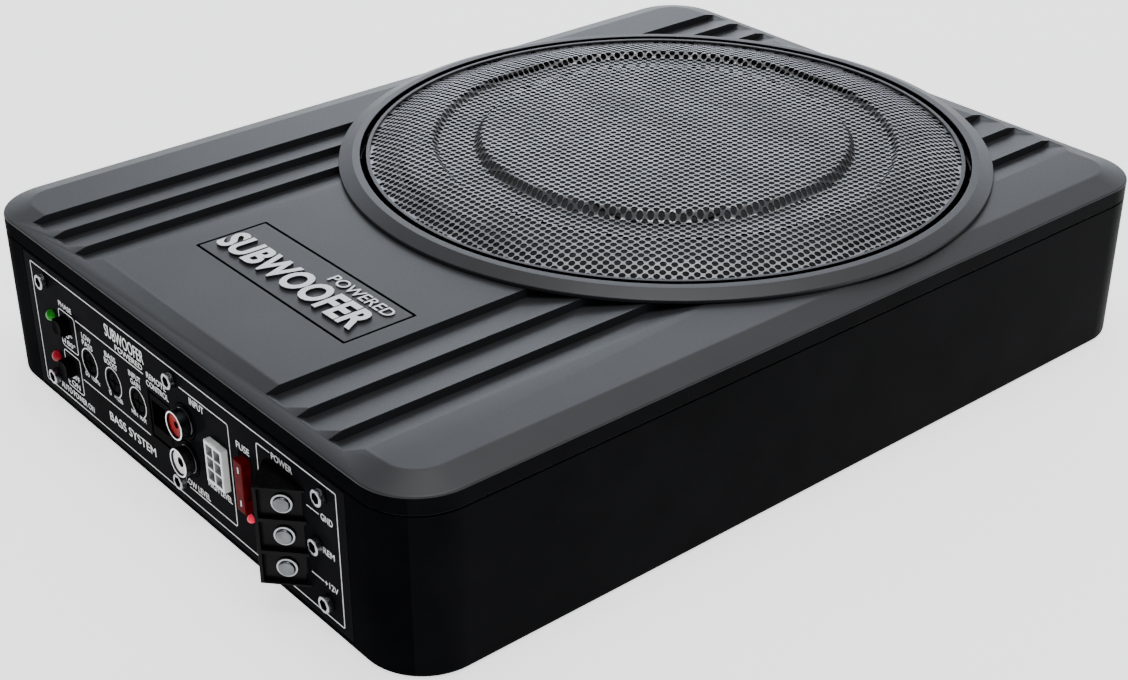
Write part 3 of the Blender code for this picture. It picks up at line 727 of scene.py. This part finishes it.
def ring_and_hoop():
    """The raised ring and the hoop inside it, turned with soft edges."""
    top = RING_HIGH.z
    outer = RING_HIGH.x
    ring = fillet([(118.2, top), (outer, 68.0), (outer, TOP + 0.3), (115.3, TOP + 0.3), (115.3, top)],
                  [0.5, 0.45, 0.1, 0.1, 0.35], steps=4)
    piece = solid("ring_fine", on_axis(turned(ring, 256)))
    # The ring's inner face takes the glossless black as painted shade.
    dress(piece, RING_GREY, stands_for=["trim_ring"], second=SHADE_BLACK,
          picks=lambda centre, normal: off_axis(centre) < 115.42)
    low, high, _ = span("grille_rim")
    hoop = fillet([(high.x, high.z), (high.x, low.z), (112.3, low.z), (112.3, 68.9), (111.6, 68.9),
                   (111.6, high.z)], [0.3, 0.1, 0.1, 0.1, 0.15, 0.25], steps=3)
    piece = solid("rim_fine", on_axis(turned(hoop, 256)))
    # The hoop's outer face takes the glossless black as painted shade.
    dress(piece, RING_GREY, stands_for=["grille_rim"], second=SHADE_BLACK,
          picks=lambda centre, normal: off_axis(centre) > 113.0)


def grille():
    """The domed grille, a pressed sheet with a square lattice of real round holes."""
    _, high, _ = span("grille_mesh")
    edge = high.x
    hem, plain = 0.25, 0.8
    shape = fillet([(0, high.z), (69.5, 74.7), (72.0, 71.3), (85.7, 71.2), (88.0, 73.5), (100.0, 71.9),
                    (110.6, 68.6), (112.0, 68.6)], [0, 1.3, 1.3, 1.3, 1.3, 14.0, 2.0, 0],
                   steps=6, closed=False)

    def height(radius):
        for (r0, z0), (r1, z1) in zip(shape, shape[1:]):
            if radius <= r1:
                return z0 + (z1 - z0) * (radius - r0) / max(r1 - r0, 1e-9)
        return shape[-1][1]

    bm = bmesh.new()
    made = {}

    def corner(x, y, key, is_rim):
        """The sheet's top and bottom points at a place; a cell's rim is drawn in to the edge."""
        if key not in made:
            radius = hypot(x, y)
            if radius > edge - 0.2 and is_rim:
                x, y, radius = x * edge / radius, y * edge / radius, edge
            z = height(radius)
            made[key] = [bm.verts.new((x * MM, y * MM, h * MM)) for h in (z, z - SHEET)]
        return made[key]

    reach = int(edge / HOLE_PITCH) + 2
    for column in range(-reach, reach + 1):
        for row in range(-reach, reach + 1):
            cx, cy = column * HOLE_PITCH, row * HOLE_PITCH
            nearest = hypot(max(abs(cx) - HOLE_PITCH / 2, 0), max(abs(cy) - HOLE_PITCH / 2, 0))
            if nearest > edge - hem:
                continue
            rim = []
            for dx, dy in ((1, 0), (1, 1), (0, 1), (-1, 1), (-1, 0), (-1, -1), (0, -1), (1, -1)):
                key = (2 * column + dx, 2 * row + dy)
                rim.append(corner(key[0] * HOLE_PITCH / 2, key[1] * HOLE_PITCH / 2, key, True))
            if hypot(cx, cy) > edge - plain:
                bm.faces.new([pair[0] for pair in rim])
                bm.faces.new([pair[1] for pair in reversed(rim)])
                continue
            hole = []
            for k in range(HOLE_SIDES):
                x = cx + HOLE_R * cos(tau * k / HOLE_SIDES)
                y = cy + HOLE_R * sin(tau * k / HOLE_SIDES)
                shrink = min(1.0, (edge - hem) / hypot(x, y))
                hole.append(corner(x * shrink, y * shrink, (column, row, k), False))
            for k in range(HOLE_SIDES):
                n = (k + 1) % HOLE_SIDES
                bm.faces.new((hole[k][0], rim[k][0], rim[n][0], hole[n][0]))
                bm.faces.new((hole[k][1], hole[n][1], rim[n][1], rim[k][1]))
                bm.faces.new((hole[k][0], hole[n][0], hole[n][1], hole[k][1]))
    under = dict(made.values())
    for border in [e for e in bm.edges if e.is_boundary]:
        a, b = border.verts
        if a in under and b in under:
            bm.faces.new((a, b, under[b], under[a]))
    sheet = solid("grille_perforated", on_axis(bm))
    # Steep walls take a darker copy of the paint, and hole sides and the underside the glossless black,
    # both as painted shade.
    dress(sheet, GRILLE_METAL, stands_for=["grille_mesh"], smooth=40.0,
          second=(GRILLE_SHADE, SHADE_BLACK),
          picks=lambda centre, normal: 0 if normal.z > 0.8 else 1 if normal.z > 0.3 else 2)


# ------------------------------------------------------------------ control panel

def panel_sheet():
    """The gloss metal panel with a hole for every part."""
    panel = solid("panel_fine", node_box("control_panel", 0.2))
    holes = [(name, SCREW_HOLE_R) for name in SCREWS]
    holes += [("led_green", 2.5), ("led_red", 2.5), ("led_fuse", 1.8)]
    holes += [(name, 4.4) for name in KNOBS]
    holes += [("rca_shell_red", 6.6), ("rca_shell_white", 6.6)]
    for name, radius in holes:
        cut(panel, place(rod(radius, -THROUGH, THROUGH), facing(name)))
    for name, spare in (("phase_button", 0.3), ("autopower_button", 0.3), ("remote_jack", 0.8),
                        ("highlevel_socket", 0.3), ("fuse_holder", 0.3)):
        cut(panel, node_box(name, y=(out(THROUGH), out(-THROUGH)), spare=spare))
    cut(panel, box((59.7, 78.3), (out(THROUGH), out(-THROUGH)), (14.7, 45.3)))
    # The hole walls, sides and back take the glossless black as painted shade.
    dress(panel, PANEL_BLACK, stands_for=["control_panel"], second=SHADE_BLACK,
          picks=lambda centre, normal: normal.y > -0.9)


# Each word with its limits in x and z.
WORDS = (
    ("PHASE", -76.3, -66.9, 43.6, 45.7), ("0°", -74.6, -69.0, 31.6, 33.9),
    ("180°", -75.4, -67.6, 28.7, 30.8), ("OFF", -74.4, -67.8, 15.3, 17.5),
    ("ON", -74.6, -68.4, 12.0, 14.2), ("AUTO POWER ON", -83.8, -59.1, 7.2, 9.7),
    ("LOW", -60.9, -54.3, 37.2, 39.4), ("PASS", -61.2, -53.7, 34.5, 36.6),
    ("BASS", -44.4, -36.7, 37.2, 39.4), ("BOOST", -45.2, -36.1, 34.5, 36.6),
    ("INPUT", -27.7, -19.6, 37.2, 39.4), ("GAIN", -26.9, -20.3, 34.5, 36.6),
    ("50", -62.0, -58.9, 21.9, 23.5), ("120Hz", -57.3, -51.3, 21.9, 23.5),
    ("0", -44.6, -43.1, 21.9, 23.5), ("+12dB", -41.1, -35.1, 21.9, 23.5),
    ("MIN", -28.9, -24.8, 21.9, 23.5), ("MAX", -23.2, -18.8, 21.9, 23.5),
    ("SUBWOOFER", -41.8, -15.4, 46.4, 51.2), ("POWERED", -35.6, -17.0, 43.4, 45.6),
    ("BASS SYSTEM", -46.6, -14.6, 10.7, 14.2), ("REMOTE", -14.5, -2.0, 42.2, 44.5),
    ("CONTROL", -15.2, -0.7, 39.0, 41.3), ("INPUT", 13.5, 22.3, 45.0, 47.6),
    ("LOW LEVEL", 5.3, 20.7, 11.3, 13.7),
    ("HIGH LEVEL", 20.7, 35.3, 17.8, 20.2), ("FUSE", 41.4, 49.1, 42.7, 45.2),
    ("POWER", 62.3, 73.7, 48.7, 51.1), ("GND", 88.0, 94.2, 40.5, 42.9),
    ("REM", 88.0, 94.0, 28.4, 30.7), ("+12V", 87.5, 94.6, 16.3, 18.6),
)


def panel_words():
    """The panel's white print: frames, leader lines, dial arcs and plain function words."""
    bm = bmesh.new()
    ribbon(bm, fillet([(-95.4, 5.5), (96.9, 5.5), (96.9, 53.8), (-95.4, 53.8)], 0.7), closed=True)
    for low, high in ((27.6, 42.3), (11.1, 25.8)):
        left, right, middle = -77.3, -65.6, (low + high) / 2
        upper = fillet([(left, middle + 2.8), (left, high), (right, high), (right, low), (left, low),
                        (left, low + 3.2)], 1.5, closed=False)
        ribbon(bm, upper)
    for z in (42.4, 18.7):
        ribbon(bm, [(-64.4, z), (-16.9, z)])
    for z in (32.2, 29.2, 15.9, 12.6):
        ribbon(bm, [(-77.0, z), (-75.8, z)])
    ribbon(bm, fillet([(7.5, 48.6), (37.1, 48.6), (37.1, 10.3), (7.5, 10.3)], 1.2, closed=False))
    ribbon(bm, fillet([(53.8, 40.0), (53.8, 50.4), (61.4, 50.4)], 1.2, closed=False))
    for z in (41.7, 17.5):
        ribbon(bm, [(80.5, z), (87.0, z)])
    for name in KNOBS:
        _, _, middle = span(name)
        radius, gap = 5.5, radians(32)
        arc = [(middle.x + radius * sin(a), middle.z - radius * cos(a))
               for a in [gap + (tau - 2 * gap) * k / 36 for k in range(37)]]
        for end, side in ((arc[0], 1), (arc[-1], -1)):
            ribbon(bm, [end, (end[0] + side * 1.6, end[1] - 0.5)])
        ribbon(bm, arc)
    bmesh.ops.recalc_face_normals(bm, faces=bm.faces)
    words = bmesh.new()
    for text, x0, x1, z0, z1 in WORDS:
        lettering(words, text, (x0, x1), (z0, z1), (-0.1, PRINT_PROUD), boldness=0.05)
    gather(bm, place(words, outward(0, 0)))
    dress(solid("panel_print", bm, turn_out=False), PRINT_WHITE)


def panel_screws():
    """Socket-head screws: a bright head with a deep hexagon socket."""
    socket_r, socket_deep = 2.05, 1.6
    for number, name in enumerate(SCREWS, 1):
        low, high, middle = span(name)
        radius, top = (high.x - low.x) / 2, out(0) - low.y
        head = fillet([(0, top), (radius, top), (radius, 0.3), (1.5, 0.3), (1.5, -6.5), (0, -6.5)],
                      [0, 0.35, 0.15, 0, 0, 0], steps=3, closed=False)
        screw = solid(f"socket_screw_{number}", turned(head, 48))
        cut(screw, prism(hexagon(socket_r, 0.3 * number), top - socket_deep, top + 1))
        screw.data.transform(facing(name))
        # The socket's walls take the glossless black as painted shade.
        dress(screw, ZINC, stands_for=[name], second=SHADE_BLACK,
              picks=lambda centre, normal: hypot(centre.x - middle.x, centre.z - middle.z) < 2.0
              and centre.y > low.y + 0.05)


def lamps():
    """Three lamps with domed lenses."""
    for name, mat, slot in (("led_green", GREEN_LENS, "lens_green"), ("led_red", RED_LENS, "lens_red"),
                            ("led_fuse", LIT_LENS, "lens_red")):
        low, high, _ = span(name)
        radius = (high.x - low.x) / 2
        dome = [(radius * sin(pi / 2 * k / 8), radius * cos(pi / 2 * k / 8))
                for k in range(9)]
        bm = turned(dome + [(radius, -5), (0, -5)], 32)
        lamp = solid(f"{name}_lens", place(bm, facing(name)))
        dress(lamp, mat, stands_for=[name])


def buttons():
    """Two square caps with a dished face."""
    for name in BUTTONS:
        low, _, _ = span(name)
        cap = solid(f"{name}_cap", node_box(name, 0.35, 3))
        dish = turned([(0, 1.0), (5.2, 1.0), (2.6, -0.25), (0, -0.4)], 32)
        sunk = Matrix.Translation((0, low.y * MM - FRONT * MM, 0))
        cut(cap, place(dish, sunk @ facing(name)))
        dress(cap, BLACK_PLASTIC, body=name, stands_for=[name])


def knobs():
    """Recessed rotary heads, each with a cross slot."""
    arm, slit, deep = 2.7, 0.45, 0.8
    for name in KNOBS:
        low, high, _ = span(name)
        radius, top = (high.x - low.x) / 2, out(0) - low.y
        head = fillet([(0, top), (radius, top), (radius, -2.7), (1.5, -2.7), (1.5, -8), (0, -8)],
                      [0, 0.5, 0.2, 0, 0, 0], steps=3, closed=False)
        knob = solid(f"{name}_head", turned(head, 40))
        cut(knob, box((-arm, arm), (-slit, slit), (top - deep, top + 1)))
        cut(knob, box((-slit, slit), (-arm, arm), (top - deep, top + 1)))
        knob.data.transform(facing(name))
        dress(knob, BLACK_PLASTIC, body=name, stands_for=[name])


def modular_jack():
    """The modular jack: a framed mouth with a latch notch and six spring contacts."""
    jack = solid("jack_body", node_box("remote_jack", 0.25))
    mouth_x, mouth_z = (-13.4, -3.6), (24.6, 34.2)
    cut(jack, box(mouth_x, (out(4), out(-12)), mouth_z))
    cut(jack, box((-4.8, -1.8), (out(4), out(-12)), (26.3, 32.5)))
    soften(jack, 0.15)
    dress(jack, BLACK_PLASTIC, stands_for=["remote_jack"])
    contacts = []
    for k in range(6):
        z = mouth_z[0] + 1.7 + k * 1.24
        contacts.append(box((mouth_x[0] - 0.1, mouth_x[0] + 0.35), (out(-4.6), out(-11.5)),
                            (z - 0.2, z + 0.2), 0.08, 1))
    join_bits("jack_contacts", contacts, COPPER)


def phono_jacks():
    """Two phono jacks: collar, metal shell and coloured insert, on one housing."""
    back = span("rca_housing")[1].y
    block = solid("rca_block", node_box("rca_housing", 0.3, y=(out(-1.8), back)))
    for title, insert in (("red", RED_PLASTIC), ("white", WHITE_PLASTIC)):
        low, high, at = span(f"rca_shell_{title}")
        radius, top = (high.x - low.x) / 2, out(0) - low.y
        spot = facing(f"rca_shell_{title}")
        flange = fillet([(0, 0.25), (6.3, 0.25), (6.3, -6), (0, -6)], [0, 0.15, 0, 0], closed=False)
        collar = turned(flange, 64)
        cut(block, place(collar, spot), operation="UNION")
        cut(block, place(rod(5.4, -10, 5, 64), spot))
        tube = fillet([(radius, top), (radius, -9.5), (4.3, -9.5), (4.5, top)], [0.3, 0.1, 0.1, 0.15],
                      steps=3)
        groove = [(radius, 1.3), (radius - 0.2, 1.1), (radius - 0.2, 0.7), (radius, 0.5)]
        split = next(k for k, (r, h) in enumerate(tube) if h < 0 and r > 5)
        shell = solid(f"rca_tube_{title}", place(turned(tube[:split] + groove + tube[split:], 64), spot))
        # The shell's side and inside take a dark copy of the nickel as painted shade.
        dress(shell, NICKEL, stands_for=[f"rca_shell_{title}"], second=SHELL_SIDE_SHADE,
              picks=lambda centre, normal: normal.y > -0.4 or centre.y > low.y + 0.5)
        face = out(0) - span(f"rca_insert_{title}")[0].y
        hole = 1.2 if title == "red" else 1.7
        plug = fillet([(0, 0.2), (hole, 0.2), (hole, face - 0.7), (4.2, face - 0.4), (4.2, -9), (0, -9)],
                      [0, 0, 0.2, 0.2, 0, 0], steps=3, closed=False)
        core = solid(f"rca_core_{title}", place(turned(plug, 48), spot))
        # The insert's hole takes the glossless black as painted shade.
        dress(core, insert, stands_for=[f"rca_insert_{title}"], second=SHADE_BLACK,
              picks=lambda centre, normal: hypot(centre.x - at.x, centre.z - at.z) < hole + 0.1)
    dress(block, BLACK_PLASTIC, stands_for=["rca_housing"])


def six_way_socket():
    """The six-way connector: a white housing, six cells and a pin in each."""
    low, high, middle = span("highlevel_socket")
    body = solid("six_way_housing", node_box("highlevel_socket", 0.2))
    pins = []
    pitch, cell = 4.6, 3.95
    for column in (-0.5, 0.5):
        for row in (-1, 0, 1):
            x, z = middle.x + column * pitch, middle.z + row * pitch
            cut(body, box(around(x, cell), (out(5), out(-9)), around(z, cell)))
            pins.append(box(around(x, 1.0), (out(-0.6), out(-9.2)), around(z, 1.0), 0.25, 2))
    soften(body, 0.12)
    dress(body, WHITE_PLASTIC, stands_for=["highlevel_socket"], second=SOCKET_SHADE,
          picks=lambda centre, normal: low.x + 0.4 < centre.x < high.x - 0.4
          and low.z + 0.4 < centre.z < high.z - 0.4 and centre.y > low.y + 0.3)
    join_bits("six_way_pins", pins, NICKEL)
    latch = [box((low.x - 0.25, low.x + 0.3), (out(1.9), out(-0.5)), around(middle.z, 4.2), 0.15),
             box(around(middle.x, 4.0), (out(1.9), out(-0.5)), (high.z - 0.3, high.z + 0.25), 0.1)]
    join_bits("six_way_latch", latch, WHITE_PLASTIC)


def fuse():
    """The blade fuse in its holder: clear red body, two blades and two test points."""
    holder = solid("fuse_well", node_box("fuse_holder", 0.2))
    low, _, at = span("blade_fuse")
    cut(holder, node_box("blade_fuse", y=(out(5), out(-15)), spare=0.3))
    dress(holder, BLACK_PLASTIC, stands_for=["fuse_holder"])
    body = solid("fuse_body", node_box("blade_fuse", 0.5, 3, (low.y, out(-8.5))))
    for side in (-1, 1):
        waist = box((at.x + side * 1.9, at.x + side * 4.0), (out(1.6), out(-9.5)), around(at.z, 9.6))
        cut(body, waist)
        cut(body, box(around(at.x, 0.9), (low.y - 1, out(1.9)), around(at.z + side * 6.15, 2.6)))
    soften(body, 0.2)
    dress(body, FUSE_RED, body="blade_fuse", stands_for=["blade_fuse"])
    metal = []
    for side in (-1, 1):
        metal.append(box(around(at.x, 0.75), (low.y + 0.02, out(-14)),
                         around(at.z + side * 6.15, 2.4), 0.1, 1))
    join_bits("fuse_blades", metal, ZINC, body="blade_fuse")


def terminals():
    """The wedge-shaped terminal block with ribs between its cells, and its three screws."""
    bottom = span("terminal_block")[0].z
    left, right, foot, peak = 57.4, 80.2, out(0.3), Vector((68.4, out(11.0)))
    base = Vector((right, foot))
    run = (base - peak).normalized()
    inward = Vector((-run.y, run.x))
    cell_height, recess, divider = 11.67, 1.7, 1.3

    def slope(share, depth):
        return peak + (base - peak) * share + inward * depth

    wedge = [(left, foot), (right, foot), tuple(peak)]
    body = solid("terminal_wedge", prism(wedge, bottom, bottom + 3 * cell_height))
    cut(body, box((60.0, 78.0), (out(1.5), out(-10)), (15.0, 45.0)), operation="UNION")
    for cell in range(3):
        z = bottom + (cell + 0.5) * cell_height
        corners = [slope(0.07, recess), slope(1.2, recess), slope(1.2, -3), slope(0.07, -3)]
        inner = around(z, cell_height - divider)
        cut(body, prism([tuple(p) for p in corners], *inner))
        cut(body, box((60.3, 65.5), (out(16), out(-7)), around(z, 6.2)))
        seat = slope(0.53, recess)
        turn = Matrix.Rotation(atan2(run.y, run.x), 4, "Z") @ OUTWARD
        spot = Matrix.Translation((seat.x * MM, seat.y * MM, z * MM)) @ turn
        cut(body, place(rod(1.8, -4.2, 3, 32), spot))
        name = f"terminal_screw_{3 - cell}"
        head = fillet([(0, 1.75), (2.4, 1.7), (2.75, 0.9), (3.4, 0.8), (3.4, 0.3), (1.5, 0.3),
                       (1.5, -3.9), (0, -3.9)], [0, 0.5, 0.2, 0.25, 0.1, 0, 0, 0], steps=5, closed=False)
        screw = solid(f"{name}_head", turned(head, 56))
        screw.data.transform(spot)
        face = spot.to_3x3() @ Vector((0, 0, 1))
        # The screw's face takes a dimmer copy of the zinc as painted shade; its side and flange keep the
        # zinc.
        dress(screw, SCREW_FACE_SHADE, body=name, stands_for=[name], second=ZINC,
              picks=lambda centre, normal: normal.dot(face) < 0.8
              or (centre - spot.translation / MM).dot(face) < 1.2)
    soften(body, 0.3)
    dress(body, BLOCK_PLASTIC, stands_for=["terminal_block"])


# ------------------------------------------------------------------ inside

SURROUND_SECTORS, SPIDER_SECTORS = 24, 12
RING_STEPS = 96


def at_angle(radius, angle, height):
    """A point round the driver's axis, in metres."""
    return radius * cos(angle) * MM, (AXIS.y + radius * sin(angle)) * MM, height * MM


def flexing(title, sectors, profile, mat, node):
    """A suspension ring in sectors, each a separate piece between the moving cone and the frame."""
    steps = RING_STEPS // sectors
    for sector in range(sectors):
        start, stop = tau * sector / sectors, tau * (sector + 1) / sectors
        turns = [start + (stop - start) * k / steps for k in range(steps + 1)]
        rings = [[at_angle(r, turn, h) for r, h in profile] for turn in turns]
        obj = solid(f"{title}_{sector + 1}", skin(rings))
        obj.data.materials.append(mat)
        obj.data.shade_smooth()
        obj.data.set_sharp_from_angle(angle=radians(40))
        if sector == 0:
            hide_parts(node)
        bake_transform(obj)


def suspension():
    """The half-roll surround and the corrugated spider."""
    over = [(95 + 4.6 * cos(a), 62.8 + 3.6 * sin(a))
            for a in [pi * k / 10 for k in range(10, -1, -1)]]
    under = [(95 + 3.8 * cos(a), 62.0 + 3.6 * sin(a))
             for a in [pi * k / 10 for k in range(11)]]
    roll = [(85.5, 62.7)] + over + [(100.8, 62.7), (100.8, 61.8)] + under + [(85.5, 61.9)]
    flexing("surround_sector", SURROUND_SECTORS, roll, RUBBER, "surround")
    waves = [(19.8 + (59.0 - 19.8) * k / 24,
              43.4 + 0.65 * sin(tau * 3 * k / 24) * (1 if k < 22 else 0.3)) for k in range(25)]
    sheet = waves + [(r, h - 0.6) for r, h in reversed(waves)]
    flexing("spider_sector", SPIDER_SECTORS, sheet, SPIDER_CLOTH, "spider")


INSIDE = {
    "driver_basket": BASKET_BLACK, "driver_gasket": FOAM, "yoke": MOTOR_STEEL, "top_plate": MOTOR_STEEL,
    "magnet": FERRITE, "voice_coil": COPPER, "cone": CONE_PAPER, "dust_cap": CONE_PAPER,
    "phase_switch": BLACK_PLASTIC, "autopower_switch": BLACK_PLASTIC, "lowpass_pot": POT_PLASTIC,
    "bassboost_pot": POT_PLASTIC, "gain_pot": POT_PLASTIC, "amp_board": BOARD_GREEN,
    "transformer": COPPER, "capacitor_1": BLACK_PLASTIC, "capacitor_2": BLACK_PLASTIC,
    "heatsink": ALUMINIUM,
}


def inside_finishes():
    """New materials for the CAD nodes that stay."""
    for name, mat in INSIDE.items():
        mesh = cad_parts[name].data
        if not mesh.materials:
            mesh.materials.append(mat)
        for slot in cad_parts[name].material_slots:
            slot.material = mat


# ------------------------------------------------------------------ studio

# Each light: name, azimuth round from -X, elevation, distance and size in metres, and power in watts.
SOFT_BLUE = (0.82, 0.89, 1.0)
LIGHTS = (("softbox_low", 38, 14, 2.2, 1.0, 6.9), ("softbox_high", 38, 32, 2.2, 1.0, 4.7),
          ("softbox_left", 12, 18, 2.2, 1.0, 3.4), ("softbox_back", 65, 18, 2.2, 1.0, 5.4),
          ("overhead", 153, 85, 2.2, 1.4, 31.0), ("rear_fill", 95, 45, 2.2, 1.2, 2.0))
WORLD = 0.4
FLOOR_GLOW = 1.5
FLOOR_DROP = -0.2
LAMP_AIM_M = 0.05
# The camera's place, its azimuth and elevation in degrees, and its lens, as solved from the case.
CAMERA_AT_M, CAMERA_TURN, CAMERA_LENS = (0.4778, -0.4078, 0.3553), (49.905, 29.517), 59.66


def studio():
    """A pale floor, soft lights and the camera."""
    bm = bmesh.new()
    bmesh.ops.create_grid(bm, x_segments=1, y_segments=1, size=6.0)
    bmesh.ops.translate(bm, vec=(0.0, 0.0, FLOOR_DROP * MM), verts=bm.verts)
    floor = solid("floor", bm)
    floor.data.materials.append(surface(
        "floor_paint", (0.92, 0.92, 0.92), (0.94, 0.94, 0.94), (0.75, 0.85), patch=3, grain=60,
        relief_um=20, specular=0.1, Emission_Color=(1.0, 1.0, 1.0, 1.0), Emission_Strength=FLOOR_GLOW))
    world = bpy.data.worlds.new("studio")
    world.use_nodes = True
    put(world.node_tree.nodes["Background"], Color=(0.95, 0.97, 1.0, 1.0), Strength=WORLD)
    bpy.context.scene.world = world
    for title, turn, rise, distance, size, power in LIGHTS:
        turn, rise = radians(turn), radians(rise)
        at = Vector((-cos(turn) * cos(rise), sin(turn) * cos(rise),
                     sin(rise))) * distance
        lamp = bpy.data.lights.new(title, "AREA")
        lamp.size = size
        lamp.energy = power
        lamp.color = SOFT_BLUE if title.startswith("softbox") else (1.0, 1.0, 1.0)
        obj = show(title, lamp)
        obj.location = at
        obj.rotation_euler = (Vector((0, 0, LAMP_AIM_M)) - at).to_track_quat("-Z", "Y").to_euler()
    azimuth, elevation = (radians(angle) for angle in CAMERA_TURN)
    back = Vector((sin(azimuth) * cos(elevation), -cos(azimuth) * cos(elevation),
                   sin(elevation)))
    right = Vector((0, 0, 1)).cross(back).normalized()
    up = back.cross(right)
    lens = bpy.data.cameras.new("camera")
    lens.lens = CAMERA_LENS
    lens.sensor_width = 36.0
    camera = show("camera", lens)
    turn = Matrix((right, up, back)).transposed().to_4x4()
    camera.matrix_world = Matrix.Translation(CAMERA_AT_M) @ turn
    bpy.context.scene.camera = camera


studio()
tub()
lid()
case_screws()
badge_and_words()
ring_and_hoop()
grille()
panel_sheet()
panel_words()
panel_screws()
lamps()
buttons()
knobs()
modular_jack()
phono_jacks()
six_way_socket()
fuse()
terminals()
suspension()
inside_finishes()
